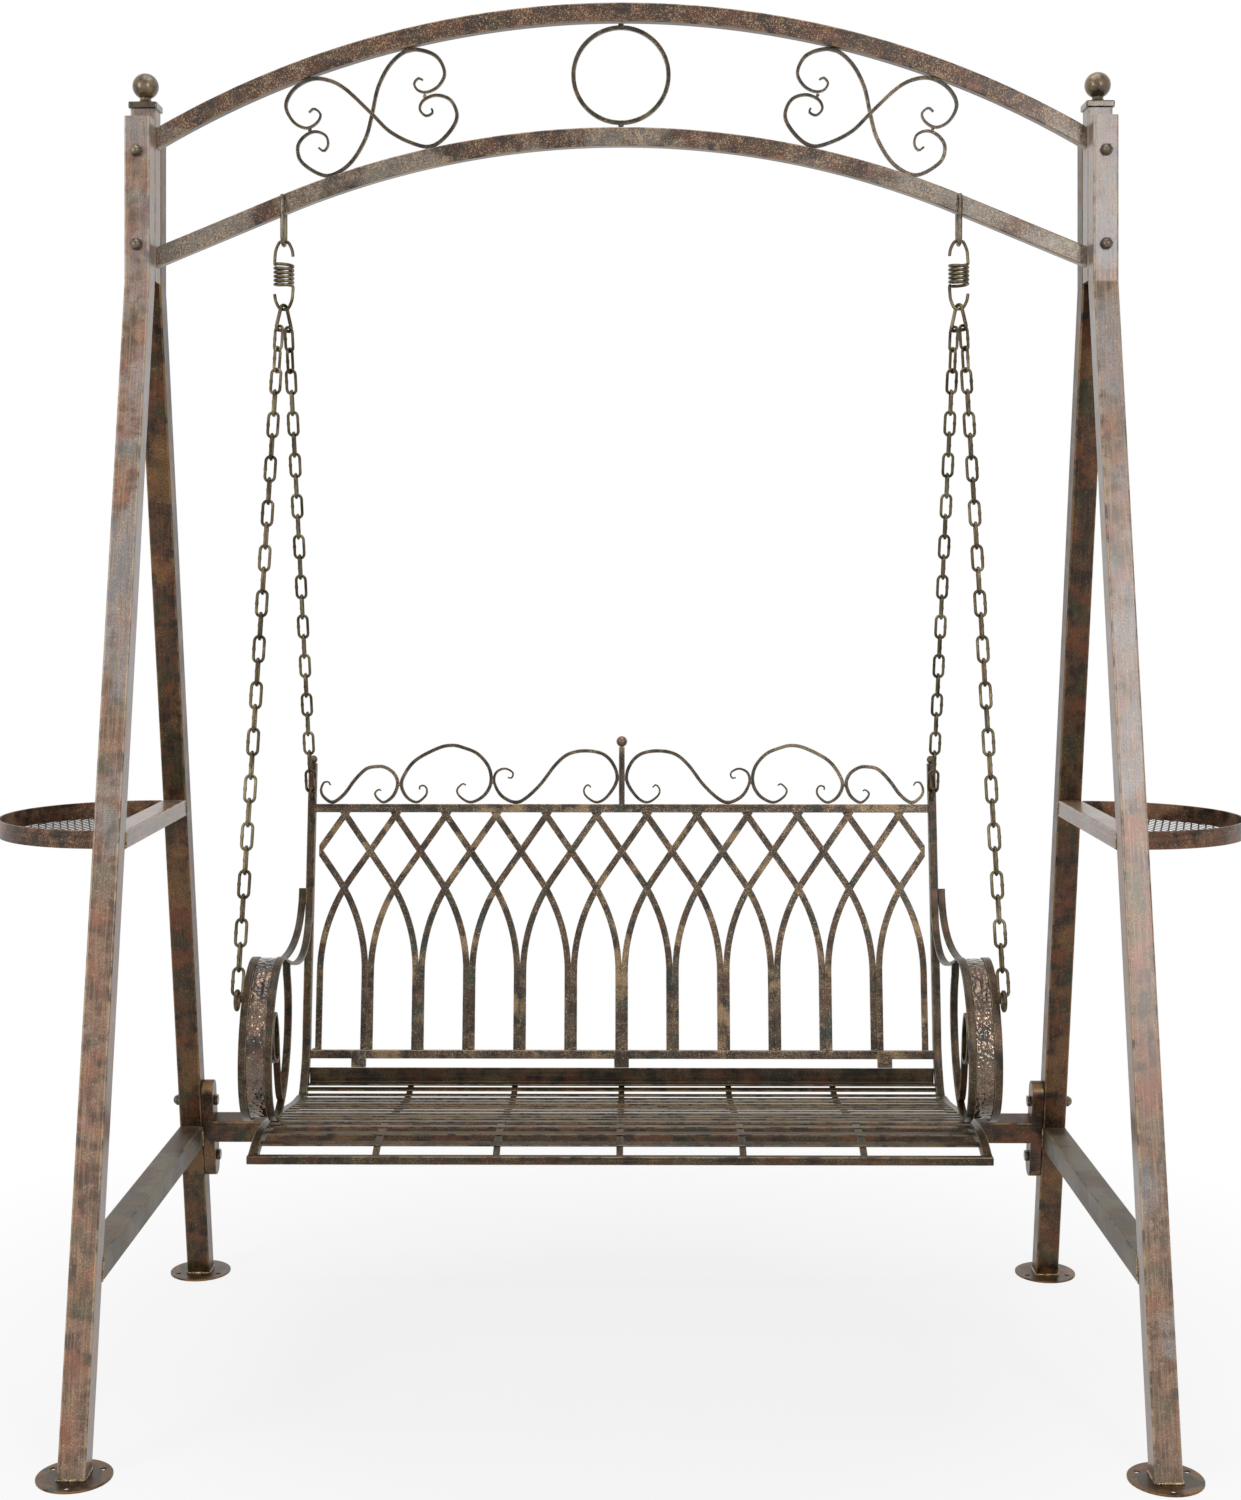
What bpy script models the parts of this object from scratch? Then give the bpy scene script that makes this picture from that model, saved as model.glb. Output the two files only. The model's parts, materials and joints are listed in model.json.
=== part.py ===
"""A wrought iron swing bench: an A-frame stand with a double arch, and a slatted bench with a
lattice back that hangs from the lower arch on two springs and four chains. Metres, +Z up,
the front of the bench towards -Y, the floor at Z = 0."""

import math

import bmesh
import bpy
import numpy as np

for item in list(bpy.data.objects):
    bpy.data.objects.remove(item, do_unlink=True)

# Clearances shared by every piece
gap = 0.0003
bite = 0.0006
overrun = 0.004

# Legs and middle posts, all of one square tube
leg_tube = 0.040
leg_wall = 0.002
leg_half_span = 0.766
leg_above_arch = 0.0077
bend_below_arch = 0.0329
leg_spread = 0.420
post_above_bend = 0.008
post_above_legs = 0.020

# Cap and ball on each middle post
cap_side = 0.046
cap_high = 0.011
cap_chamfer = 0.003
neck_radius = 0.009
neck_flare = 0.016
neck_high = 0.018
finial_ball_radius = 0.021

# Round foot plates
foot_radius = 0.0535
foot_thick = 0.003
foot_hole_radius = 0.0045
foot_hole_circle = 0.041
foot_holes = 3

# Side stretchers, tray bars and rear crossbar
stretcher_height = 0.2665
tray_bar_high = 0.028
tray_bar_wall = 0.002
tray_bar_bottom = 0.853
crossbar_tube = 0.040
crossbar_height = 0.279
bracket_long = 0.180
bracket_thick = 0.020
bracket_wide = 0.038

# Bolts with a domed nut on one end
bolt_radius = 0.005
bolt_clearance = 0.0006
nut_across = 0.017
nut_high = 0.007
dome_radius = 0.0080
dome_high = 0.0065
head_high = 0.006
lower_bolt_rise = 0.0119
upper_bolt_drop = 0.0309
crossbar_bolt_offset = 0.053

# Half-round trays
tray_reach = 0.209
tray_end = 0.2025
tray_rim_thick = 0.003
tray_floor_thick = 0.002

# Double arch and its ring
arch_high = 0.030
arch_deep = 0.020
arch_wall = 0.002
upper_radius = 1.492
arch_spacing = 0.200
lower_crown = 1.986
lower_radius = 1.428
lower_curved = 0.5487
ring_stand = 0.0085
ring_bar = 0.007
ring_weld = 0.009

# Scrolls between the arches, of one square bar. Shares of the way from the centre to the
# post, and of the height between the arches.
scroll_bar = 0.006
scroll_tip_share = 0.55
outer_scroll_shares = (
    (0.673, 0.680), (0.662, 0.700), (0.648, 0.620), (0.657, 0.550), (0.680, 0.541),
    (0.707, 0.651), (0.723, 0.833), (0.707, 0.960), (0.673, 1.000), (0.638, 0.947),
    (0.597, 0.800), (0.538, 0.469), (0.500, 0.250), (0.456, 0.090), (0.414, 0.000),
    (0.380, 0.058), (0.354, 0.223), (0.366, 0.405), (0.397, 0.489), (0.425, 0.470),
    (0.434, 0.390), (0.421, 0.310), (0.406, 0.325), (0.409, 0.370),
)
inner_scroll_shares = (
    (0.428, 0.676), (0.438, 0.705), (0.447, 0.660), (0.438, 0.585), (0.418, 0.550),
    (0.394, 0.587), (0.381, 0.702), (0.397, 0.872), (0.432, 0.976), (0.466, 1.000),
    (0.500, 0.905), (0.525, 0.716), (0.538, 0.469), (0.552, 0.254), (0.583, 0.064),
    (0.621, 0.000), (0.652, 0.054), (0.690, 0.234), (0.699, 0.388), (0.687, 0.470),
    (0.663, 0.486), (0.639, 0.412), (0.633, 0.312), (0.642, 0.262), (0.654, 0.315),
)

# Hangers: a U hook welded over the lower arch, and a spring that hangs in it
hanger_half_span = 0.543
hook_rod = 0.007
hook_drop = 0.08073
spring_wire = 0.0052
spring_outer = 0.0342
spring_coil_gap = 0.0013
spring_curls = 5.5
spring_drop = 0.110
# The upper hook from its tip to the first curl: shares of the curls' radius, and of the height
# from the curls to the top of the hook
spring_hook_shares = (
    (1.03, -0.67), (0.90, -0.37), (0.57, -0.10), (0.29, -0.02), (0.00, 0.00), (-0.29, -0.02),
    (-0.57, -0.10), (-0.90, -0.42), (-0.99, -0.74),
)

# Pear-shaped carrier link below each spring
carrier_rod = 0.006
carrier_long = 0.047
carrier_top_wide = 0.023
carrier_bottom_wide = 0.041
carrier_turn = math.radians(32)
chain_stand = 0.0110
chain_play = 0.0012

# Chains
link_wire = 0.0049
link_wide = 0.0205
link_pitch = 0.0365
twisted_links = 3

# Bench frame
bench_bar = 0.014
bench_half_span = 0.535
seat_front = -0.314
seat_depth = 0.494
seat_crown = 0.4415
seat_dip = 0.0423
# Seat line from front to back: shares of the depth, and of the dip below the crown
seat_line_shares = (
    (0.000, -0.409), (0.040, -0.213), (0.100, -0.054), (0.170, 0.000), (0.260, -0.057),
    (0.388, -0.281), (0.580, -0.591), (0.772, -0.934), (0.870, -1.000), (0.930, -0.953),
)
# Where the ribs end behind the last slat, as the same shares
rib_end_share = (0.970, -0.816)
front_bar = 0.012
slat_count = 12
slat_wide = 0.012
slat_thick = 0.0024
# Shares of the seat line's length: the first slat, the last of the evenly spaced ones, and the
# wider spaced ones behind them
slat_first_share = 0.054
slat_last_share = 0.804
rear_slat_shares = (0.856, 0.908, 0.965)
rib_wide = 0.010
rib_thick = 0.005
rib_offsets = (-0.356, -0.180, 0.0, 0.180, 0.356)
angle_leg = 0.0270
angle_foot = 0.018
angle_thick = 0.003
angle_back = 0.172

# Back of the bench, leaning by the recline
recline = math.radians(8.6)
back_foot_y = 0.178
back_foot_height = 0.453
rail_bar = 0.0142
rail_wall = 0.0012
top_rail_rise = 0.4147
upright_rise = 0.492
upright_bend = 0.055
upright_ball_radius = 0.0072
tab_wide = 0.025
tab_thick = 0.008
tab_offsets = (-0.445, 0.0, 0.445)

# Lattice of bent bars: upright below, then each bends outwards to a slope
lattice_edge = 0.0148
lattice_columns = 6
lattice_bar = 0.0111
lattice_thick = 0.0032
lattice_bent_high = 0.2774
lattice_bend_radius = 0.2776
lattice_slope = math.radians(35)

# Scrollwork above the top rail. Shares of the half width between the uprights, and of the
# height.
crest_high = 0.100
crest_bar = 0.0060
crest_deep = 0.0060
crest_tip_share = 0.42
crest_post = 0.010
crest_post_rise = 0.098
crest_post_deep = 0.007
crest_ball_radius = 0.0095
inner_crest_shares = (
    (0.101, 0.255), (0.112, 0.300), (0.124, 0.220), (0.117, 0.105), (0.083, 0.000),
    (0.048, 0.099), (0.016, 0.380), (0.027, 0.643), (0.062, 0.830), (0.119, 0.886),
    (0.175, 0.830), (0.218, 0.643), (0.267, 0.305), (0.317, 0.060), (0.352, 0.000),
    (0.395, 0.117), (0.418, 0.342), (0.412, 0.511), (0.384, 0.579), (0.358, 0.511),
    (0.361, 0.420), (0.374, 0.425),
)
middle_crest_shares = (
    (0.511, 0.290), (0.522, 0.315), (0.540, 0.211), (0.529, 0.090), (0.494, 0.000),
    (0.451, 0.117), (0.429, 0.342), (0.437, 0.605), (0.473, 0.830), (0.522, 0.943),
    (0.561, 0.980), (0.607, 0.924), (0.678, 0.718), (0.715, 0.455), (0.722, 0.267),
    (0.703, 0.080), (0.671, 0.000), (0.643, 0.110), (0.639, 0.220), (0.649, 0.285),
    (0.663, 0.265), (0.662, 0.215),
)
outer_crest_shares = (
    (0.789, 0.195), (0.797, 0.215), (0.809, 0.150), (0.798, 0.050), (0.777, 0.000),
    (0.748, 0.117), (0.735, 0.324), (0.748, 0.493), (0.777, 0.598), (0.805, 0.613),
    (0.840, 0.568), (0.876, 0.380), (0.911, 0.130), (0.946, 0.000), (0.975, 0.080),
    (0.986, 0.200), (0.978, 0.330), (0.963, 0.345), (0.955, 0.290),
)
# Where neighbouring crest scrolls are welded, as the same shares
crest_weld_shares = ((0.0115, 0.400), (0.4235, 0.340), (0.7285, 0.300))
crest_weld = 0.010

# Arms: two flat rails with a hammered band between them
arm_rail_wide = 0.012
arm_rail_thick = 0.005
arm_inner_edge = 0.518
arm_outer_edge = 0.569
arm_high = 0.239
arm_deep = 0.184
arm_lean = math.radians(20)
arm_centre_y = -0.161
arm_join_height = 0.728
arm_tail_bend = 0.126
arm_tail_sag = 0.150
arm_first_turn = -0.12
arm_last_turn = math.tau - 0.55
arm_close_share = 0.945
band_thick = 0.0016
band_inset = 0.0015
band_start_share = -0.015
band_end_share = 0.43
curl_thick = 0.005
# Curl inside the arm ring: shares of the ring's half depth and half height
curl_shares = (
    (0.43, -0.77), (0.30, -0.62), (0.02, -0.36), (-0.16, -0.06), (-0.24, 0.20),
    (-0.42, 0.38), (-0.64, 0.34), (-0.73, 0.10), (-0.60, -0.14), (-0.34, -0.24),
    (-0.16, -0.20),
)

# Eyes that take the ends of the chains
lug_radius = 0.0135
lug_rod = 0.006
lug_stand = 0.0012
lug_turn_share = 0.1856
lug_weld = 0.012
eye_radius = 0.009
eye_rod = 0.005
eye_drop = 0.0503

# Finer or coarser facets
round_sides = 12
bolt_sides = 6
foot_sides = 16
eye_points = 7
rod_sides = 6
thin_sides = 5
curl_points = 8
arch_segments = 16
scroll_points = 24
crest_points = 20
rib_points = 10
arm_points = 19
arm_curl_points = 12
arm_tail_points = 7


def unit(vector):
    vector = np.asarray(vector, float)
    return vector / np.linalg.norm(vector)


def finish(name, colour, roughness, metallic):
    material = bpy.data.materials.new(name)
    material.use_nodes = True
    shader = material.node_tree.nodes["Principled BSDF"]
    shader.inputs["Base Color"].default_value = (*colour, 1)
    shader.inputs["Roughness"].default_value = roughness
    shader.inputs["Metallic"].default_value = metallic
    return material


def bronzed(name):
    return finish(name, (0.115, 0.075, 0.050), 0.48, 0.85)


def dark_iron(name):
    return finish(name, (0.060, 0.048, 0.036), 0.55, 0.85)


def brushed(name):
    return finish(name, (0.290, 0.235, 0.195), 0.40, 0.90)


def piece(name, shape, make_finish, origin=(0, 0, 0), lean=0.0):
    """An object made of one or more closed shapes, its points given about its own origin."""
    mesh = bpy.data.meshes.new(name)
    mesh.from_pydata([tuple(p) for p in shape[0]], [], shape[1])
    work = bmesh.new()
    work.from_mesh(mesh)
    bmesh.ops.recalc_face_normals(work, faces=work.faces)
    work.to_mesh(mesh)
    work.free()
    made = bpy.data.objects.new(name, mesh)
    made.location = origin
    made.rotation_euler = (lean, 0, 0)
    made.data.materials.append(make_finish(name + " finish"))
    bpy.context.scene.collection.objects.link(made)
    return made


def together(*shapes):
    points = []
    faces = []
    for shape in shapes:
        start = len(points)
        points.extend(tuple(p) for p in shape[0])
        faces.extend(tuple(start + corner for corner in face) for face in shape[1])
    return points, faces


def mirrored(shape):
    return [(-p[0], p[1], p[2]) for p in shape[0]], shape[1]


def to_side(shape, side):
    return shape if side > 0 else mirrored(shape)


def skin(rings, closed=False):
    """A surface through rings of equally many points, with flat ends unless it closes."""
    count, corners = rings.shape[:2]
    faces = []
    for i in range(count if closed else count - 1):
        here = i * corners
        following = (i + 1) % count * corners
        for j in range(corners):
            k = (j + 1) % corners
            faces.append((here + j, here + k, following + k, following + j))
    if not closed:
        faces.append(tuple(range(corners)))
        faces.append(tuple((count - 1) * corners + j for j in range(corners)))
    return rings.reshape(-1, 3).tolist(), faces


def pipe(outer, inner):
    """An open-ended tube between two sets of rings."""
    count, corners = outer.shape[:2]
    inside = count * corners
    faces = []
    for i in range(count - 1):
        for j in range(corners):
            k = (j + 1) % corners
            a, b = i * corners, (i + 1) * corners
            faces.append((a + j, a + k, b + k, b + j))
            faces.append((inside + a + j, inside + b + j, inside + b + k, inside + a + k))
    for i in (0, count - 1):
        for j in range(corners):
            k = (j + 1) % corners
            a = i * corners
            faces.append((a + j, a + k, inside + a + k, inside + a + j))
    points = np.concatenate([outer.reshape(-1, 3), inner.reshape(-1, 3)])
    return points.tolist(), faces


def side_normals(path, across, closed=False):
    """In-plane normals of a path, lengthened at its corners so that the sides stay parallel."""
    steps = np.diff(path, axis=0, append=path[:1])
    if not closed:
        steps[-1] = steps[-2]
    steps = steps / np.linalg.norm(steps, axis=1)[:, None]
    after = np.cross(across, steps)
    before = np.roll(after, 1, axis=0)
    if not closed:
        before[0] = after[0]
    middle = after + before
    middle = middle / np.linalg.norm(middle, axis=1)[:, None]
    return middle / (middle * after).sum(axis=1)[:, None]


def bar_rings(path, thick, wide, across, closed=False, cuts=(None, None)):
    """Rectangular sections: thick in the path's plane, wide along the direction across. Each
    cut is the direction in the plane along which that end is sawn."""
    path = np.asarray(path, float)
    across = unit(across)
    normals = side_normals(path, across, closed)
    for end, cut in zip((0, -1), cuts):
        if cut is not None:
            cut = unit(cut)
            normals[end] = cut / np.dot(cut, normals[end])
    half = np.broadcast_to(np.asarray(thick, float) / 2, len(path))[:, None] * normals
    out = across * wide / 2
    return np.stack([path + half + out, path + half - out, path - half - out, path - half + out], 1)


def rod_rings(path, radius, sides, closed=False):
    """Round sections carried along any path without twisting."""
    path = np.asarray(path, float)
    steps = np.roll(path, -1, axis=0) - np.roll(path, 1, axis=0)
    if not closed:
        steps[0] = path[1] - path[0]
        steps[-1] = path[-1] - path[-2]
    tangents = steps / np.linalg.norm(steps, axis=1)[:, None]
    start = np.eye(3)[np.argmin(abs(tangents[0]))]
    normal = unit(np.cross(tangents[0], start))
    angles = np.arange(sides) * math.tau / sides
    rings = []
    for point, tangent in zip(path, tangents):
        normal = unit(normal - tangent * np.dot(normal, tangent))
        other = np.cross(tangent, normal)
        rings.append(point + radius * (np.outer(np.cos(angles), normal) + np.outer(np.sin(angles), other)))
    return np.array(rings)


def box(low, high):
    low = np.asarray(low, float)
    high = np.asarray(high, float)
    corners = [(0, 0), (1, 0), (1, 1), (0, 1)]
    rings = [
        [(low[0] if not a else high[0], low[1] if not b else high[1], z) for a, b in corners]
        for z in (low[2], high[2])
    ]
    return skin(np.array(rings))


def lathe(outline, sides):
    """An outline of (radius, height) turned about Z."""
    angles = np.arange(sides) * math.tau / sides
    rings = []
    for radius, height in outline:
        rings.append(np.stack([radius * np.cos(angles), radius * np.sin(angles), np.full(sides, height)], 1))
    return skin(np.array(rings))


def ball(centre, radius, sides=8, rows=6):
    """A sphere whose poles are small flats."""
    pole_share = 0.08
    outline = [(radius * pole_share, -radius)]
    for row in range(1, rows):
        angle = math.pi * (row / rows - 1 / 2)
        outline.append((radius * math.cos(angle), radius * math.sin(angle)))
    outline.append((radius * pole_share, radius))
    return moved(lathe(outline, sides), centre)


def moved(shape, offset):
    return [tuple(np.add(p, offset)) for p in shape[0]], shape[1]


def turned(shape, axes):
    """The shape with its X, Y and Z laid along the three given directions."""
    frame = np.array(axes, float)
    return (np.asarray(shape[0], float) @ frame).tolist(), shape[1]


def smooth(points, steps):
    """A Catmull-Rom curve through the points."""
    points = np.asarray(points, float)
    ends = np.concatenate([[2 * points[0] - points[1]], points, [2 * points[-1] - points[-2]]])
    curve = []
    for i in range(len(points) - 1):
        a, b, c, d = ends[i : i + 4]
        for t in np.arange(steps) / steps:
            curve.append(
                (2 * b + (c - a) * t + (2 * a - 5 * b + 4 * c - d) * t**2 + (3 * b - a - 3 * c + d) * t**3) / 2
            )
    curve.append(points[-1])
    return np.array(curve)


def evenly(path, count, first=0.0, last=1.0):
    """Points and unit directions at equal steps along a path, between two shares of its length."""
    steps = np.linalg.norm(np.diff(path, axis=0), axis=1)
    along = np.concatenate([[0], np.cumsum(steps)])
    places = np.linspace(first, last, count) * along[-1]
    points = np.stack([np.interp(places, along, path[:, k]) for k in range(path.shape[1])], 1)
    near = along[-1] / (len(path) * 2)
    ahead = np.stack([np.interp(places + near, along, path[:, k]) for k in range(path.shape[1])], 1)
    behind = np.stack([np.interp(places - near, along, path[:, k]) for k in range(path.shape[1])], 1)
    directions = ahead - behind
    return points, directions / np.linalg.norm(directions, axis=1)[:, None]


def by_curvature(points, count):
    """Points along a curve through the given ones, set closer where it bends more."""
    curve = smooth(points, 6)
    steps = np.diff(curve, axis=0)
    directions = np.unwrap(np.arctan2(steps[:, 1], steps[:, 0]))
    bends = np.abs(np.diff(directions, prepend=directions[0]))
    lengths = np.linalg.norm(steps, axis=1)
    weight = np.concatenate([[0], np.cumsum(np.sqrt(lengths * (bends + lengths / lengths.sum())))])
    places = np.linspace(0, weight[-1], count)
    return np.stack([np.interp(places, weight, curve[:, k]) for k in (0, 1)], 1)


def arc(centre, radius, start, end, count):
    """Points of an arc in a plane, as pairs."""
    angles = np.linspace(start, end, count)
    return np.stack([centre[0] + radius * np.cos(angles), centre[1] + radius * np.sin(angles)], 1)


def in_yz(pairs, x=0.0):
    return np.array([(x, y, z) for y, z in pairs])


def in_xz(pairs, y=0.0):
    return np.array([(x, y, z) for x, z in pairs])


def combine(target, others, operation):
    """Join to the target, or cut from it, each of the other objects, and remove them."""
    for other in others:
        change = target.modifiers.new("combine", "BOOLEAN")
        change.operation = operation
        change.solver = "EXACT"
        change.object = other
        bpy.context.view_layer.update()
        made = bpy.data.meshes.new_from_object(target.evaluated_get(bpy.context.evaluated_depsgraph_get()))
        target.modifiers.remove(change)
        target.data = made
        bpy.data.objects.remove(other, do_unlink=True)
    return target


def fused(name, shapes, make_finish, **place):
    """One body made of shapes that run into each other by a bite."""
    body = piece(name, shapes[0], make_finish, **place)
    return combine(body, [piece("joined", s, make_finish, **place) for s in shapes[1:]], "UNION")


def drilled(body, cutters):
    return combine(body, [piece("drill", c, dark_iron) for c in cutters], "DIFFERENCE")


# Curves of the two arches, which the legs and hangers follow

arch_half_span = leg_half_span - leg_tube / 2 - gap
upper_crown = lower_crown + arch_spacing


def upper_line(depth, x):
    """Height of the upper arch's curve that lies this far below its top face."""
    centre = upper_crown - upper_radius
    return centre + np.sqrt((upper_radius - depth) ** 2 - np.square(x))


def lower_line(depth, x):
    """The same for the lower arch, which runs straight beyond its curved middle."""
    centre = lower_crown - lower_radius
    radius = lower_radius - depth
    turn = lower_curved / lower_radius
    x = np.abs(x)
    level = math.sqrt(1 - turn * turn)
    curved = centre + np.sqrt(np.maximum(radius**2 - np.square(x), 0))
    straight = centre + radius * level - (x - radius * turn) * turn / level
    return np.where(x < radius * turn, curved, straight)


# Legs, posts and feet

leg_top = float(upper_line(0, arch_half_span)) + leg_above_arch
leg_bend = float(lower_line(arch_high, arch_half_span)) - bend_below_arch
post_bottom = leg_bend + post_above_bend
post_top = leg_top + post_above_legs
leg_bolt_heights = (
    float(lower_line(arch_high / 2, arch_half_span)) + lower_bolt_rise,
    float(upper_line(arch_high / 2, arch_half_span)) - upper_bolt_drop,
)
leg_axis_y = leg_tube + gap
leg_slope = (leg_spread - leg_axis_y) / (leg_bend - foot_thick - gap)
leg_angle = math.atan(leg_slope)
leg_half_depth = leg_tube / 2 / math.cos(leg_angle)


def leg_y(height):
    """Distance of a leg's axis from the middle plane at a height below the bend."""
    return leg_axis_y + (leg_bend - height) * leg_slope


def square_tube(path, across, cuts=(None, None), side=leg_tube, wall=leg_wall):
    outer = bar_rings(path, side, side, across, cuts=cuts)
    inner = bar_rings(path, side - 2 * wall, side - 2 * wall, across, cuts=cuts)
    return pipe(outer, inner)


def drill(centre, axis, length):
    """A bolt hole's cutter, centred, along Y or X."""
    radius = bolt_radius + bolt_clearance
    cutter = lathe([(radius, -length / 2), (radius, length / 2)], bolt_sides)
    axes = {"y": ((1, 0, 0), (0, 0, -1), (0, 1, 0)), "x": ((0, 1, 0), (0, 0, 1), (1, 0, 0))}[axis]
    return moved(turned(cutter, axes), centre)


def crossbar_bolt_place(level):
    """Centre of a crossbar bolt on a back leg's axis."""
    height = crossbar_height + level * crossbar_bolt_offset * math.cos(leg_angle)
    return leg_y(height), height


def leg(side, row):
    """Row -1 is the front leg, row 1 the back one."""
    x = side * leg_half_span
    path = in_yz([(0, leg_top), (0, leg_bend), (row * (leg_spread - leg_axis_y), foot_thick + gap)], x)
    path = path + (0, row * leg_axis_y, 0)
    name = ("left" if side < 0 else "right") + ("_front_leg" if row < 0 else "_back_leg")
    body = piece(name, square_tube(path, (1, 0, 0), (None, (0, 1, 0))), brushed if row < 0 else bronzed)
    long = leg_tube + 2 * overrun
    cutters = [drill((x, row * leg_axis_y, height), "y", long) for height in leg_bolt_heights]
    if row > 0:
        cutters += [drill((x, *crossbar_bolt_place(level)), "x", long) for level in (-1, 1)]
    return drilled(body, cutters)


def middle_post(side):
    x = side * leg_half_span
    path = [(x, 0, post_top), (x, 0, post_bottom)]
    body = piece(("left" if side < 0 else "right") + "_post", square_tube(path, (1, 0, 0)), brushed)
    long = leg_tube + 2 * overrun
    return drilled(body, [drill((x, 0, height), "y", long) for height in leg_bolt_heights])


def finial(side):
    """A chamfered square cap, a flared neck and a ball."""
    half = cap_side / 2
    low = post_top + gap
    rings = []
    for inset, height in ((0, 0), (0, cap_high - cap_chamfer), (cap_chamfer, cap_high)):
        reach = half - inset
        rings.append([(a * reach, b * reach, height) for a, b in ((-1, -1), (1, -1), (1, 1), (-1, 1))])
    neck_base = cap_high - bite
    centre = cap_high + neck_high + finial_ball_radius / 2
    outline = [(neck_flare, neck_base), (neck_radius, cap_high + neck_high / 2)]
    first = -math.acos(neck_radius / finial_ball_radius)
    for share in np.linspace(0, 1, 6)[:-1]:
        angle = first + share * (math.pi / 2 - first)
        outline.append((finial_ball_radius * math.cos(angle), centre + finial_ball_radius * math.sin(angle)))
    outline.append((finial_ball_radius * scroll_tip_share / 5, centre + finial_ball_radius))
    name = ("left" if side < 0 else "right") + "_finial"
    shapes = [skin(np.array(rings)), lathe(outline, round_sides)]
    return fused(name, shapes, bronzed, origin=(side * leg_half_span, 0, low))


def foot_plate(side, row):
    name = ("left" if side < 0 else "right") + ("_front" if row < 0 else "_back") + "_foot_plate"
    centre = (side * leg_half_span, row * leg_spread, 0)
    body = piece(name, moved(lathe([(foot_radius, 0), (foot_radius, foot_thick)], foot_sides), centre), bronzed)
    cutters = []
    for hole in range(foot_holes):
        angle = row * math.pi / 2 + hole * math.tau / foot_holes
        offset = foot_hole_circle * np.array((math.cos(angle), math.sin(angle), 0))
        hole_outline = [(foot_hole_radius, -overrun), (foot_hole_radius, foot_thick + overrun)]
        cutters.append(moved(lathe(hole_outline, bolt_sides), np.add(centre, offset)))
    return drilled(body, cutters)


def bar_between_legs(x, bottom, high, wide, wall):
    """A rectangular tube along Y whose ends are sawn to the slope of the legs."""
    rings = []
    for inset in (0, wall):
        low, top = bottom + inset, bottom + high - inset
        half = wide / 2 - inset
        for row in (-1, 1):
            ring = []
            for a, height in ((-1, low), (1, low), (1, top), (-1, top)):
                reach = leg_y(height) - leg_half_depth - gap
                ring.append((x + a * half, row * reach, height))
            rings.append(ring)
    rings = np.array(rings)
    return pipe(rings[:2], rings[2:])


def side_stretcher(side):
    name = ("left" if side < 0 else "right") + "_stretcher"
    bottom = stretcher_height - leg_tube / 2
    shape = bar_between_legs(side * leg_half_span, bottom, leg_tube, leg_tube, leg_wall)
    return piece(name, shape, brushed)


def tray_bar(side):
    name = ("left" if side < 0 else "right") + "_tray_bar"
    shape = bar_between_legs(side * leg_half_span, tray_bar_bottom, tray_bar_high, leg_tube, tray_bar_wall)
    return piece(name, shape, brushed)


def rear_crossbar():
    """A square tube set square to the sloping back legs, with a bolted bracket at each end."""
    down = np.array((0, math.sin(leg_angle), -math.cos(leg_angle)))
    centre = np.array((0, leg_y(crossbar_height), crossbar_height))
    bracket_face = leg_half_span - leg_tube / 2 - gap
    half = bracket_face - bracket_thick + bite
    shapes = [skin(bar_rings([centre - (half, 0, 0), centre + (half, 0, 0)], crossbar_tube, crossbar_tube, down))]
    across = np.cross((1, 0, 0), down)
    rounds = arc((0, 0), bracket_wide / 2, 0, math.pi, 6)
    straight = (bracket_long - bracket_wide) / 2
    outline = [across * a + down * (b + straight) for a, b in rounds]
    outline += [-across * a - down * (b + straight) for a, b in rounds]
    for side in (-1, 1):
        near = side * bracket_face
        far = side * (bracket_face - bracket_thick)
        rings = [[centre + (x, 0, 0) + point for point in outline] for x in (near, far)]
        shapes.append(skin(np.array(rings)))
    body = fused("rear_crossbar", shapes, bronzed)
    long = bracket_thick + 2 * overrun
    bore = crossbar_tube - 2 * leg_wall
    through = [centre - (leg_half_span, 0, 0), centre + (leg_half_span, 0, 0)]
    cutters = [skin(bar_rings(through, bore, bore, down))]
    for side in (-1, 1):
        x = side * (bracket_face - bracket_thick / 2)
        for level in (-1, 1):
            cutters.append(drill((x, *crossbar_bolt_place(level)), "x", long))
    return drilled(body, cutters)


def bolt(name, length, axes, start):
    """A bolt through a stack of the given length: domed nut at the start, hexagon head beyond."""
    flat = nut_across / 2 / math.cos(math.pi / bolt_sides)
    outline = [
        (dome_radius / 2, -gap - nut_high - dome_high),
        (dome_radius, -gap - nut_high - dome_high / 2),
        (dome_radius, -gap - nut_high),
        (flat, -gap - nut_high),
        (flat, -gap),
        (bolt_radius, -gap),
        (bolt_radius, length + gap),
        (flat, length + gap),
        (flat, length + gap + head_high),
    ]
    return piece(name, moved(turned(lathe(outline, bolt_sides), axes), start), dark_iron)


def leg_bolts(side):
    front = -leg_axis_y - leg_tube / 2
    where = "left" if side < 0 else "right"
    for label, height in zip(("lower", "upper"), leg_bolt_heights):
        axes = ((1, 0, 0), (0, 0, -1), (0, 1, 0))
        bolt(f"{where}_{label}_leg_bolt", -2 * front, axes, (side * leg_half_span, front, height))


def crossbar_bolts(side):
    where = "left" if side < 0 else "right"
    for label, level in zip(("lower", "upper"), (-1, 1)):
        y, height = crossbar_bolt_place(level)
        start = (side * (leg_half_span + leg_tube / 2), y, height)
        axes = ((0, side, 0), (0, 0, -1), (-side, 0, 0))
        bolt(f"{where}_{label}_crossbar_bolt", leg_tube + gap + bracket_thick, axes, start)


# Trays

def tray_line(inset, count):
    """Half an ellipse outside a tray bar, as (x, y) about the bar's outer face."""
    angles = np.linspace(-math.pi / 2, math.pi / 2, count)
    return np.stack([(tray_reach - inset) * np.cos(angles), (tray_end - inset) * np.sin(angles)], 1)


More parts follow.
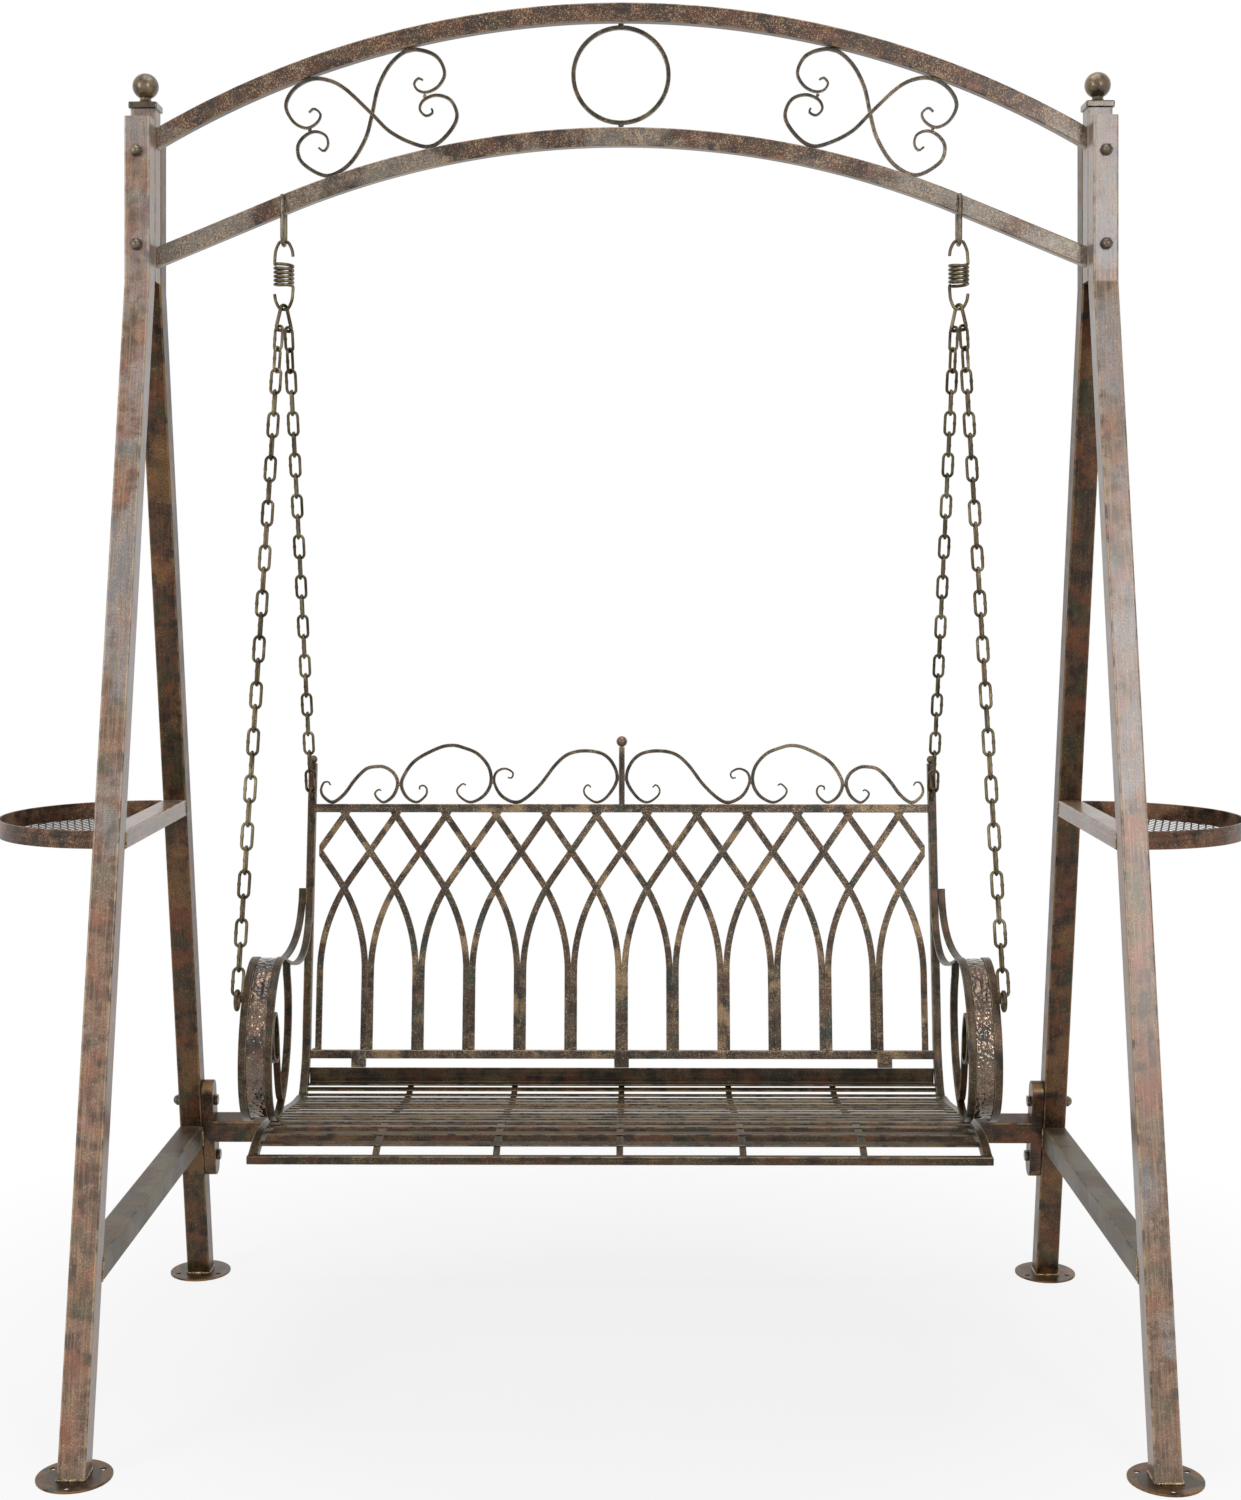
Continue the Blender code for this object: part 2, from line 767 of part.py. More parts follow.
def tray(side):
    where = "left" if side < 0 else "right"
    face = leg_half_span + leg_tube / 2 + gap
    count = foot_sides + 1
    rings = []
    for outer, inner in zip(tray_line(0, count), tray_line(tray_rim_thick, count)):
        out = face + max(outer[0], 0)
        inside = face + max(inner[0], 0)
        low, high = tray_bar_bottom, tray_bar_bottom + tray_bar_high
        rings.append([(out, outer[1], low), (inside, inner[1], low), (inside, inner[1], high), (out, outer[1], high)])
    piece(f"{where}_tray_rim", to_side(skin(np.array(rings)), side), bronzed)
    edge = tray_line(tray_rim_thick + gap, count)
    low = tray_bar_bottom
    floor = [[(face + max(x, 0), y, z) for x, y in edge] for z in (low, low + tray_floor_thick)]
    piece(f"{where}_tray_mesh", to_side(skin(np.array(floor)), side), dark_iron)


# Arches

arch_stations = np.linspace(-arch_half_span, arch_half_span, arch_segments + 1)


def facet_height(line, depth, x):
    """Height of an arch's face at x, where it runs straight between its stations."""
    return float(np.interp(x, arch_stations, line(depth, arch_stations)))


def arch(name, line):
    x = arch_stations
    path = np.stack([x, 0 * x, line(arch_high / 2, x)], 1)
    cuts = ((0, 0, 1), (0, 0, 1))
    outer = bar_rings(path, arch_high, arch_deep, (0, 1, 0), cuts=cuts)
    inner = bar_rings(path, arch_high - 2 * arch_wall, arch_deep - 2 * arch_wall, (0, 1, 0), cuts=cuts)
    return piece(name, pipe(outer, inner), bronzed)


ring_radius = (arch_spacing - arch_high) / 2 - ring_stand


def arch_ring():
    """A ring of square bar that stands between the arches on two welds."""
    top = facet_height(upper_line, arch_high, 0) - gap
    bottom = facet_height(lower_line, 0, 0) + gap
    middle = (top + bottom) / 2
    circle = arc((0, middle), ring_radius, 0, math.tau, foot_sides + 1)[:-1]
    shapes = [skin(bar_rings(in_xz(circle), ring_bar, ring_bar, (0, 1, 0), closed=True), closed=True)]
    half = ring_weld / 2
    inside = ring_radius
    shapes.append(box((-half, -half / 2, bottom), (half, half / 2, middle - inside)))
    shapes.append(box((-half, -half / 2, middle + inside), (half, half / 2, top)))
    return fused("arch_ring", shapes, dark_iron)


def tapered(count, thick, tip_share):
    """Thickness along a scroll: thin at both tips and full from a fifth of the way in."""
    along = np.linspace(0, 1, count)
    return thick * (tip_share + (1 - tip_share) * np.clip(np.minimum(along, 1 - along) * 5, 0, 1))


def arch_scroll(name, shares, side, layer):
    """The two scrolls of a side lie against each other, one in front of the other."""
    margin = scroll_bar / 2 + 2 * gap
    points = []
    for across, up in by_curvature(shares, scroll_points):
        x = across * arch_half_span
        low = facet_height(lower_line, 0, x) + margin
        high = facet_height(upper_line, arch_high, x) - margin
        points.append((side * x, layer * (scroll_bar + gap) / 2, low + min(max(up, 0), 1) * (high - low)))
    thick = tapered(len(points), scroll_bar, scroll_tip_share)
    return piece(name, skin(bar_rings(points, thick, scroll_bar, (0, 1, 0))), dark_iron)


# Hangers

hook_bend = arch_deep / 2 + gap + hook_rod / 2
hook_bottom = float(lower_line(0, hanger_half_span)) - hook_drop


def hanger_hook(side):
    """A rod over each side of the lower arch that meets in a bend below it."""
    x = hanger_half_span
    top = facet_height(lower_line, 0, x)
    bend = arc((0, hook_bottom + hook_bend), hook_bend, math.pi, math.tau, 8)
    path = in_yz([(-hook_bend, top), *bend, (hook_bend, top)], x)
    name = ("left" if side < 0 else "right") + "_hanger_hook"
    return piece(name, to_side(skin(rod_rings(path, hook_rod / 2, thin_sides)), side), dark_iron)


swing_height = hook_bottom + hook_rod / 2
spring_top = swing_height + gap + spring_wire / 2
spring_radius = (spring_outer - spring_wire) / 2
spring_pitch = spring_wire + spring_coil_gap


def spring_path():
    """From the tip of the upper hook, round the curls, to the tip of the lower hook, about the
    axis of the spring and downwards from the top of the upper hook."""
    body_long = spring_curls * spring_pitch
    body_top = -(spring_drop - body_long) / 2
    upper = [(a * spring_radius, 0, -b * body_top) for a, b in spring_hook_shares]
    curls = []
    count = round(curl_points * spring_curls)
    for i in range(count + 1):
        share = i / count
        angle = math.pi + share * spring_curls * math.tau
        place = (spring_radius * math.cos(angle), spring_radius * math.sin(angle))
        curls.append((*place, body_top - share * body_long))
    lower = [(-x, -y, -spring_drop - z) for x, y, z in reversed(upper)]
    return np.array(upper + curls + lower)


def least_gap(path, wire, reach):
    """Least gap between stretches of a tube that lie more than the reach apart along it."""
    fine = evenly(path, 8 * len(path))[0]
    steps = np.linalg.norm(np.diff(fine, axis=0), axis=1)
    along = np.concatenate([[0], np.cumsum(steps)])
    apart = np.linalg.norm(fine[:, None] - fine[None], axis=2)
    far = abs(along[:, None] - along[None]) > reach
    return apart[far].min() - wire


def spring(side):
    """The right spring is the left one, turned half round."""
    path = spring_path() * (-side, -side, 1)
    clear = least_gap(path, spring_wire, 3 * spring_wire)
    print(f"spring: least gap to itself {clear * 1000:.2f} mm")
    name = ("left" if side < 0 else "right") + "_spring"
    shape = skin(rod_rings(path, spring_wire / 2, rod_sides))
    return piece(name, shape, dark_iron, origin=(side * hanger_half_span, 0, spring_top))


carrier_top = spring_top - spring_drop + (spring_wire + carrier_rod) / 2 + chain_play
carrier_bottom = carrier_top - (carrier_long - carrier_rod)
chain_top = carrier_bottom + (carrier_rod + link_wire) / 2 + chain_play


def carrier_link(side):
    """A pear-shaped loop, narrow on the spring's hook and wide where the two chains hang."""
    narrow = (carrier_top_wide - carrier_rod) / 2
    wide = (carrier_bottom_wide - carrier_rod) / 2
    corner = wide / 3
    outline = [*arc((0, carrier_top - narrow), narrow, 0, math.pi, 5)]
    outline += [*arc((-wide + corner, carrier_bottom + corner), corner, math.pi, math.pi * 3 / 2, 3)]
    outline += [*arc((wide - corner, carrier_bottom + corner), corner, -math.pi / 2, 0, 3)]
    along = (math.sin(carrier_turn), -math.cos(carrier_turn))
    path = [(hanger_half_span + across * along[0], across * along[1], z) for across, z in outline]
    name = ("left" if side < 0 else "right") + "_carrier_link"
    shape = skin(rod_rings(path, carrier_rod / 2, thin_sides, closed=True), closed=True)
    return piece(name, to_side(shape, side), dark_iron)


# Chains

def link(top, down, across, long):
    """A long square link: its loop's centre line is long from end to end."""
    half = (link_wide - link_wire) / 2
    outline = [(-half, 0), (half, 0), (half, long), (-half, long)]
    path = [top + across * a + down * b for a, b in outline]
    rings = bar_rings(path, link_wire, link_wire, np.cross(across, down), closed=True)
    return skin(rings, closed=True)


def chain(name, top, bottom, side):
    """Links that bite into each other, between the centres of the wires at the two ends. The
    top link lies square to the carrier link, and the chain soon untwists below it. The bottom
    one lies across the bench, so their number is odd."""
    top = np.array(top, float)
    bottom = np.array(bottom, float)
    total = np.linalg.norm(bottom - top)
    count = round((total / link_pitch - 1) / 2) * 2 + 1
    step_back = link_wire - bite
    long = (total + (count - 1) * step_back) / count
    down = unit(bottom - top)
    across = unit(np.array((1, 0, 0)) - down * down[0])
    other = np.cross(down, across)
    halves = ([], [])
    for i in range(count):
        turn = -carrier_turn * max(0, 1 - i / twisted_links) + (i % 2) * math.pi / 2
        width = across * math.cos(turn) + other * math.sin(turn)
        halves[i % 2].append(link(top + down * i * (long - step_back), down, width, long))
    shapes = [to_side(together(*half), side) for half in halves]
    return fused(name, shapes, dark_iron)


def back_point(rise, forward=0.0):
    """World (y, z) of a place this far up the leaning back, and this far in front of it."""
    y = back_foot_y + rise * math.sin(recline) - forward * math.cos(recline)
    return y, back_foot_height + rise * math.cos(recline) + forward * math.sin(recline)


lug_x = arm_outer_edge + lug_stand + lug_rod / 2
eye_rise = upright_rise - eye_drop
eye_height = back_foot_height + eye_rise * math.cos(recline)
eye_y = back_point(eye_rise, bench_bar / 2)[0] - eye_radius


def chains(side):
    where = "left" if side < 0 else "right"
    shift = chain_stand * math.sin(carrier_turn)
    forward = chain_stand * math.cos(carrier_turn)
    under = (lug_rod + link_wire) / 2 + chain_play
    front_top = (hanger_half_span + shift, -forward, chain_top)
    front_bottom = (lug_x, lug_y, lug_height + lug_radius - under)
    chain(f"{where}_front_chain", front_top, front_bottom, side)
    under = (eye_rod + link_wire) / 2 + chain_play
    back_top = (hanger_half_span - shift, forward, chain_top)
    back_bottom = (bench_half_span, eye_y, eye_height + eye_radius - under)
    chain(f"{where}_back_chain", back_top, back_bottom, side)


# Seat

def seat_line(end=()):
    """The seat's top line as (y, z), from the front bar to the back."""
    shares = [*seat_line_shares, *end]
    return smooth([(seat_front + a * seat_depth, seat_crown + b * seat_dip) for a, b in shares], 3)


def below(line, depth):
    """A line moved down by a depth square to itself."""
    _, directions = evenly(line, len(line))
    normals = np.stack([-directions[:, 1], directions[:, 0]], 1)
    return evenly(line, len(line))[0] - depth * normals


def eye_shape(x, y, z, radius, rod):
    circle = arc((y, z), radius, 0, math.tau, eye_points + 1)[:-1]
    return skin(rod_rings(in_yz(circle, x), rod / 2, thin_sides, closed=True), closed=True)


def seat_side_frame(side):
    """One square bar bent from the front of the seat up into the upright, with a ball on top
    and an eye for the back chain."""
    seat = evenly(below(seat_line(), bench_bar / 2), 14)[0]
    bend = [back_point(upright_bend * share) for share in (1, 3 / 2)]
    top = back_point(upright_rise)
    heel = back_point(0)
    curve = smooth([*seat[-3:], heel, *bend], 3)
    path = in_yz([*seat[:-3], *curve, top], bench_half_span)
    bar = skin(bar_rings(path, bench_bar, bench_bar, (1, 0, 0), cuts=((0, 0, 1), None)))
    y, z = back_point(upright_rise + upright_ball_radius - bite)
    shapes = [bar, ball((bench_half_span, y, z), upright_ball_radius)]
    shapes.append(eye_shape(bench_half_span, eye_y, eye_height, eye_radius, eye_rod))
    name = ("left" if side < 0 else "right") + "_seat_side_frame"
    return fused(name, [to_side(s, side) for s in shapes], bronzed)


def rib_line():
    """The ribs' centre line, which bites into the undersides of the slats."""
    line = seat_line([rib_end_share])
    return by_curvature(below(line, slat_thick + rib_thick / 2 - 2 * bite), rib_points)


def angle_top():
    return rib_line()[-1][1] + rib_thick / 2 - bite + angle_leg


def seat_panel():
    """Slats across five ribs, with the front bar and the rear angle."""
    line = seat_line([rib_end_share])
    half = bench_half_span - bench_bar / 2 - gap
    places = np.linspace(slat_first_share, slat_last_share, slat_count)
    slats = []
    for place in (*places, *rear_slat_shares):
        ((y, z),), ((dy, dz),) = evenly(line, 1, place, place)
        ring = []
        for a, b in ((-1, 0), (1, 0), (1, -1), (-1, -1)):
            along, deep = a * slat_wide / 2, b * slat_thick
            ring.append((y + along * dy - deep * dz, z + along * dz + deep * dy))
        slats.append(skin(np.array([[(x, *corner) for corner in ring] for x in (-half, half)])))
    ribs = []
    middle = rib_line()
    rear = (angle_back - angle_thick - bite, middle[-1][1])
    front = (seat_front - bite, middle[0][1] - bite)
    for x in rib_offsets:
        path = in_yz([front, *middle[1:], rear], x)
        ribs.append(skin(bar_rings(path, rib_thick, rib_wide, (1, 0, 0))))
    reach = bench_half_span + bench_bar / 2
    front_top = seat_line()[0][1]
    bars = [box((-reach, seat_front - gap - front_bar, front_top - front_bar), (reach, seat_front - gap, front_top))]
    low = angle_top() - angle_leg
    ring = [
        (angle_back - angle_foot, low), (angle_back, low), (angle_back, angle_top()),
        (angle_back - angle_thick, angle_top()), (angle_back - angle_thick, low + angle_thick),
        (angle_back - angle_foot, low + angle_thick),
    ]
    bars.append(skin(np.array([[(x, *corner) for corner in ring] for x in (-half, half)])))
    return fused("seat_panel", [together(*slats), together(*ribs), together(*bars)], bronzed)


# Back

back_half_span = bench_half_span - bench_bar / 2 - gap
back_place = {"origin": (0, back_foot_y, back_foot_height), "lean": -recline}


def back_rail(rise):
    path = [(-back_half_span, 0, rise), (back_half_span, 0, rise)]
    return square_tube(path, (0, 1, 0), side=rail_bar, wall=rail_wall)


def back_bottom_rail():
    """The rail that the lattice stands on, with three tabs down to the seat's rear angle."""
    half = rail_bar / 2
    shapes = [back_rail(0)]
    tab_bottom = (angle_top() + gap - back_foot_height) / math.cos(recline)
    for x in tab_offsets:
        low = (x - tab_wide / 2, -half - tab_thick / 2, tab_bottom)
        high = (x + tab_wide / 2, -half + tab_thick / 2, half - bite)
        shapes.append(box(low, high))
    return fused("back_bottom_rail", shapes, bronzed, **back_place)


def back_top_rail():
    return piece("back_top_rail", back_rail(top_rail_rise), bronzed, **back_place)


lattice_pitch = (bench_half_span - lattice_edge) / lattice_columns
lattice_straight = top_rail_rise - lattice_bent_high


def lattice_lean(rise):
    """How far a bar has moved sideways at a height: an arc, then a straight slope."""
    height = rise - lattice_straight
    bent = lattice_bend_radius * math.sin(lattice_slope)
    if height <= 0:
        return 0
    if height < bent:
        return lattice_bend_radius - math.sqrt(lattice_bend_radius**2 - height**2)
    return lattice_bend_radius * (1 - math.cos(lattice_slope)) + (height - bent) * math.tan(lattice_slope)


def lattice_height(lean):
    """The height on the straight slope where a bar has moved this far sideways."""
    arc_lean = lattice_bend_radius * (1 - math.cos(lattice_slope))
    bent = lattice_bend_radius * math.sin(lattice_slope)
    return lattice_straight + bent + (lean - arc_lean) / math.tan(lattice_slope)


def back_lattice():
    """Bars in two layers: those that bend right in front, those that bend left behind."""
    low = rail_bar / 2 + gap
    high = top_rail_rise - rail_bar / 2 - gap
    bent = lattice_straight + lattice_bend_radius * math.sin(lattice_slope)
    wall = back_half_span - lattice_bar / 2 / math.cos(lattice_slope)
    layer_y = (lattice_thick - bite) / 2
    beside = lattice_bar / 2 - bite / 2
    bars = []
    for column in range(-lattice_columns, lattice_columns):
        start = column * lattice_pitch + beside
        limit = wall - start
        top = min(high, lattice_height(limit))
        heights = [low, lattice_straight, *np.linspace(lattice_straight, min(bent, top), 3)[1:]]
        if top > bent:
            heights.append(top)
        path = [(start + lattice_lean(rise), -layer_y, rise) for rise in heights]
        cut = (1, 0, 0) if top == high else (0, 0, 1)
        cuts = ((1, 0, 0), cut)
        bars.append(skin(bar_rings(path, lattice_bar, lattice_thick, (0, 1, 0), cuts=cuts)))
    meet = lattice_columns * lattice_pitch - (lattice_columns - 1) * lattice_pitch - beside
    low_end = lattice_height(meet + wall - lattice_columns * lattice_pitch)
    run = (high - low_end) * math.tan(lattice_slope)
    path = [(wall, layer_y, low_end), (wall - run, layer_y, high)]
    left = [mirrored(bar) for bar in bars]
    left = [([(x, -y, z) for x, y, z in bar[0]], bar[1]) for bar in left]
    stub = skin(bar_rings(path, lattice_bar, lattice_thick, (0, 1, 0), cuts=((0, 0, 1), (1, 0, 0))))
    other_stub = ([(-x, -y, z) for x, y, z in stub[0]], stub[1])
    shapes = [together(*bars, other_stub), together(*left, stub)]
    return fused("back_lattice", shapes, bronzed, **back_place)


def crest_scroll(shares, side):
    base = top_rail_rise + rail_bar / 2 + gap + crest_bar / 2
    points = [(side * a * back_half_span, 0, base + max(b, 0) * crest_high) for a, b in by_curvature(shares, crest_points)]
    thick = tapered(len(points), crest_bar, crest_tip_share)
    return skin(bar_rings(points, thick, crest_deep, (0, 1, 0)))


def crest_scrollwork():
    """Three scrolls on each side of a short post, welded where they meet."""
    base = top_rail_rise + rail_bar / 2 + gap
    half = crest_post / 2
    post = box((-half, -crest_post_deep / 2, base), (half, crest_post_deep / 2, base + crest_post_rise))
    first = [crest_scroll(s, side) for s in (inner_crest_shares, outer_crest_shares) for side in (-1, 1)]
    second = [crest_scroll(middle_crest_shares, side) for side in (-1, 1)]
    welds = []
    for across, up in crest_weld_shares:
        for side in (-1, 1):
            x = side * across * back_half_span
            z = base + crest_bar / 2 + up * crest_high
            reach = crest_weld / 2
            deep = crest_deep / 2 - bite
            welds.append(box((x - reach, -deep, z - reach / 2), (x + reach, deep, z + reach / 2)))
    shapes = [together(*first), together(*second), post, together(*welds)]
    return fused("crest_scrollwork", shapes, dark_iron, **back_place)


def centre_finial():
    base = top_rail_rise + rail_bar / 2 + 2 * gap + crest_post_rise
    place = (0, 0, base + crest_ball_radius)
    return piece("centre_finial", ball(place, crest_ball_radius), dark_iron, **back_place)


# Arms

def seat_height_at(y):
    line = seat_line()
    return float(np.interp(y, line[:, 0], line[:, 1]))


arm_half_depth = arm_deep / 2
arm_half_height = arm_high / 2
# Axes of the leaning ellipse that has this depth and height
arm_square_sum = arm_half_depth**2 + arm_half_height**2
arm_square_difference = (arm_half_height**2 - arm_half_depth**2) / math.cos(2 * arm_lean)
arm_long = math.sqrt((arm_square_sum + arm_square_difference) / 2)
arm_short = math.sqrt((arm_square_sum - arm_square_difference) / 2)
arm_bottom_y = arm_centre_y - arm_square_difference * math.sin(2 * arm_lean) / 2 / arm_half_height
arm_centre_height = seat_height_at(arm_bottom_y) + gap + arm_half_height


def arm_ellipse(turn, inset):
    """A place on the arm's ring: the turn is 0 at its top and grows towards the front."""
    a = -(arm_short - inset) * math.sin(turn)
    b = (arm_long - inset) * math.cos(turn)
    y = a * math.cos(arm_lean) + b * math.sin(arm_lean)
    z = -a * math.sin(arm_lean) + b * math.cos(arm_lean)
    return arm_centre_y + y, arm_centre_height + z


lug_place = arm_ellipse(lug_turn_share * math.tau, arm_rail_thick / 2)
lug_y = lug_place[0] - lug_radius - lug_weld / 8
lug_height = lug_place[1] + lug_weld / 8


def bezier(points, shares):
    """A cubic curve between the first and last of four points, drawn towards the other two."""
    a, b, c, d = np.asarray(points, float)
    t = np.asarray(shares, float)[:, None]
    return a * (1 - t) ** 3 + 3 * b * t * (1 - t) ** 2 + 3 * c * t**2 * (1 - t) + d * t**3


def arm_rail(side, inner):
    """A flat bar that leaves the upright, sags back down to the top of the ring, and goes once
    round it to be welded under its own start."""
    middle = arm_rail_thick / 2
    turns = np.linspace(arm_first_turn, arm_last_turn, arm_points)
    ring = np.array([arm_ellipse(turn, middle) for turn in turns])
    rise = (arm_join_height - back_foot_height) / math.cos(recline)
    if inner:
        forward = bench_bar / 2 + gap + middle / math.cos(recline)
        x = (bench_half_span - (bench_bar - arm_rail_wide) / 2, arm_inner_edge + arm_rail_wide / 2)
    else:
        forward = 0
        x = (bench_half_span + bench_bar / 2 + gap + arm_rail_wide / 2, arm_outer_edge - arm_rail_wide / 2)
    end = back_point(rise, forward)
    heel = back_point(rise - arm_tail_bend, forward)
    sag = ring[0] + arm_tail_sag * unit(ring[0] - ring[1])
    tail = bezier([end, heel, sag, ring[0]], np.linspace(0, 1, arm_tail_points))
    shares = np.linspace(0, 1, len(tail))
    sideways = x[0] + (x[1] - x[0]) * shares * shares * (3 - 2 * shares)
    path = [(a, y, z) for a, (y, z) in zip(sideways, tail)]
    path += [(x[1], y, z) for y, z in ring[1:]]
    shapes = []
    overlap = len(path) - arm_points // 2
    shapes.append(skin(bar_rings(path[: overlap + 1], arm_rail_thick, arm_rail_wide, (1, 0, 0))))
    close = bezier([end, heel, sag, ring[0]], [arm_close_share])[0]
    rest = [*path[overlap - 1 :], (x[1], *close)]
    shapes.append(skin(bar_rings(rest, arm_rail_thick - bite, arm_rail_wide - bite, (1, 0, 0))))
    if inner:
        shapes.append(arm_curl(x[1]))
    else:
        shapes += lug()
    name = ("left" if side < 0 else "right") + ("_inner" if inner else "_outer") + "_arm_rail"
    return fused(name, [to_side(s, side) for s in shapes], bronzed)


def arm_curl(x):
    points = []
    for a, b in by_curvature(curl_shares, arm_curl_points):
        points.append((x, arm_centre_y + a * arm_half_depth, arm_centre_height + b * arm_half_height))
    return skin(bar_rings(points, curl_thick, arm_rail_wide - 2 * bite, (1, 0, 0)))


def lug():
    """The round eye for the front chain, and the weld that holds it off the rail."""
    half = lug_weld / 2
    low = (arm_outer_edge - bite, lug_y + lug_radius - half / 2, lug_height - half)
    high = (lug_x, lug_y + lug_radius + half * 3 / 2, lug_height + half / 2)
    return [eye_shape(lug_x, lug_y, lug_height, lug_radius, lug_rod), box(low, high)]


def arm_band(side):
    """The hammered sheet between the two rails, over the top and front of the ring."""
    first = arm_inner_edge + arm_rail_wide + gap
    last = arm_outer_edge - arm_rail_wide - gap
    turns = np.linspace(band_start_share, band_end_share, 15) * math.tau
    path = in_yz([arm_ellipse(turn, band_inset + band_thick / 2) for turn in turns], (first + last) / 2)
    shape = skin(bar_rings(path, band_thick, last - first, (1, 0, 0)))
    return piece(("left" if side < 0 else "right") + "_arm_band", to_side(shape, side), bronzed)


upper_arch = arch("upper_arch", upper_line)
lower_arch = arch("lower_arch", lower_line)
arch_ring()
rear_crossbar()
seat_panel()
back_bottom_rail()
back_top_rail()
back_lattice()
crest_scrollwork()
centre_finial()
for side in (-1, 1):
    where = "left" if side < 0 else "right"
    for row in (-1, 1):
        leg(side, row)
        foot_plate(side, row)
    middle_post(side)
    finial(side)
    side_stretcher(side)
    tray_bar(side)
    tray(side)
    leg_bolts(side)
    crossbar_bolts(side)
    arch_scroll(f"{where}_outer_arch_scroll", outer_scroll_shares, side, -1)
    arch_scroll(f"{where}_inner_arch_scroll", inner_scroll_shares, side, 1)
    hanger_hook(side)
    spring(side)
    carrier_link(side)
    chains(side)
    seat_side_frame(side)
    arm_rail(side, True)
    arm_rail(side, False)
    arm_band(side)
print(f"swing axis at height {swing_height:.5f}")
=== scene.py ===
import json
import math

import bpy
import numpy as np
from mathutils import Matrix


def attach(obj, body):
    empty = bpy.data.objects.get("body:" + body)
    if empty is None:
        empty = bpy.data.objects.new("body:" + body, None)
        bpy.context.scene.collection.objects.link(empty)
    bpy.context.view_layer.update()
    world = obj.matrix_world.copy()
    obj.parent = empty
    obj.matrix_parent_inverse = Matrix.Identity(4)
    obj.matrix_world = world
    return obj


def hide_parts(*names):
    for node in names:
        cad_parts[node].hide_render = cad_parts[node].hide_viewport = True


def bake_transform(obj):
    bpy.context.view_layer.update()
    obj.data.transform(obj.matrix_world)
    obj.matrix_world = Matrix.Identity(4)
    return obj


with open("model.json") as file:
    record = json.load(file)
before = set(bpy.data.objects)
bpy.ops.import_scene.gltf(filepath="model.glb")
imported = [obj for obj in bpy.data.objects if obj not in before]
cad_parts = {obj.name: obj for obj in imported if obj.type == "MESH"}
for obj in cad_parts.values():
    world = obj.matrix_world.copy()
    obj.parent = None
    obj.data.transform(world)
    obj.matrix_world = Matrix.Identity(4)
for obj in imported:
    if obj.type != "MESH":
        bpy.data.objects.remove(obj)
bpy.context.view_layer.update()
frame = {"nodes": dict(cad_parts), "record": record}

scene = bpy.context.scene
sides = ((-1, "left"), (1, "right"))
slotOf = {part["node"]: part["material_slot"] for part in frame["record"]["subparts"]}
print("packed frame loaded:", len(frame["nodes"]), "nodes")

# Camera, lamps, floor

# The camera that took the photograph, of 1241 by 1500 pixels; the sensor's height is in millimetres
photograph = {
    "high": 1500, "focalPixels": 2042.2, "horizonRow": 567.5, "sensor": 36,
    "place": (0.0193, -3.2864, 1.2789), "turn": 0.0061,
}
camera = bpy.data.objects.new("camera", bpy.data.cameras.new("camera"))
camera.data.sensor_fit = "VERTICAL"
camera.data.sensor_height = photograph["sensor"]
camera.data.lens = photograph["sensor"] * photograph["focalPixels"] / photograph["high"]
camera.data.shift_y = (photograph["horizonRow"] - photograph["high"] / 2) / photograph["high"]
camera.location = photograph["place"]
camera.rotation_euler = (math.pi / 2, 0, photograph["turn"])
scene.collection.objects.link(camera)
scene.camera = camera
scene.view_settings.view_transform = "Standard"


# One shader node with its settings, and its links as (input, node, output)
def addNode(tree, kind, settings=None, links=()):
    made = tree.nodes.new("ShaderNode" + kind)
    for key, value in (settings or {}).items():
        if isinstance(key, int) or key in made.inputs:
            made.inputs[key].default_value = value
        else:
            setattr(made, key, value)
    for entry, source, exit in links:
        tree.links.new(source.outputs[exit], made.inputs[entry])
    return made


# An sRGB hex colour as linear values
def colour(hexCode):
    parts = np.array([int(hexCode[i : i + 2], 16) for i in (1, 3, 5)]) / 255
    parts = np.where(parts <= 0.04045, parts / 12.92, ((parts + 0.055) / 1.055) ** 2.4)
    return (*parts.tolist(), 1)


# 1 for the rays that show the backdrop: from the camera, a glossy face or a clear one
def backdropRays(tree):
    ray, most = addNode(tree, "LightPath"), {"operation": "MAXIMUM"}
    seen = addNode(tree, "Math", most, [(0, ray, "Is Camera Ray"), (1, ray, "Is Glossy Ray")])
    return addNode(tree, "Math", most, [(0, seen, 0), (1, ray, "Is Transmission Ray")])


studio = {
    "white": "#ffffff", "skyLight": 0.30,
    "lamps": {  # place, aim, width and height in metres, power in watts
        "windowLeft": ((-3.4, -3.0, 2.2), (0, 0, 1.2), (1.5, 2.2), 60),
        "windowRight": ((1.9, -4.2, 2.3), (0.5, 0, 1.3), (0.7, 2.0), 46),
        "overhead": ((0.0, -0.6, 4.4), (0, 0, 1.0), (2.4, 2.4), 48),
    },
    "floor": {
        "height": -0.0005, "colour": "#e4e4e4",
        "corners": ((-30, -30, 0), (30, -30, 0), (30, 60, 0), (-30, 60, 0)),
    },
    "fade": {"From Min": 0.5, "From Max": 1.6, "To Min": 0.80, "To Max": 1.0},
}
world = bpy.data.worlds.new("studio")
world.use_nodes = True
scene.world = world
tree = world.node_tree
tree.nodes.clear()
white = {"Color": colour(studio["white"]), "Strength": 1.0}
backdrop = addNode(tree, "Background", white)
skyLight = addNode(tree, "Background", {**white, "Strength": studio["skyLight"]})
both = addNode(tree, "MixShader", {}, [(0, backdropRays(tree), 0), (1, skyLight, 0), (2, backdrop, 0)])
addNode(tree, "OutputWorld", {}, [("Surface", both, 0)])

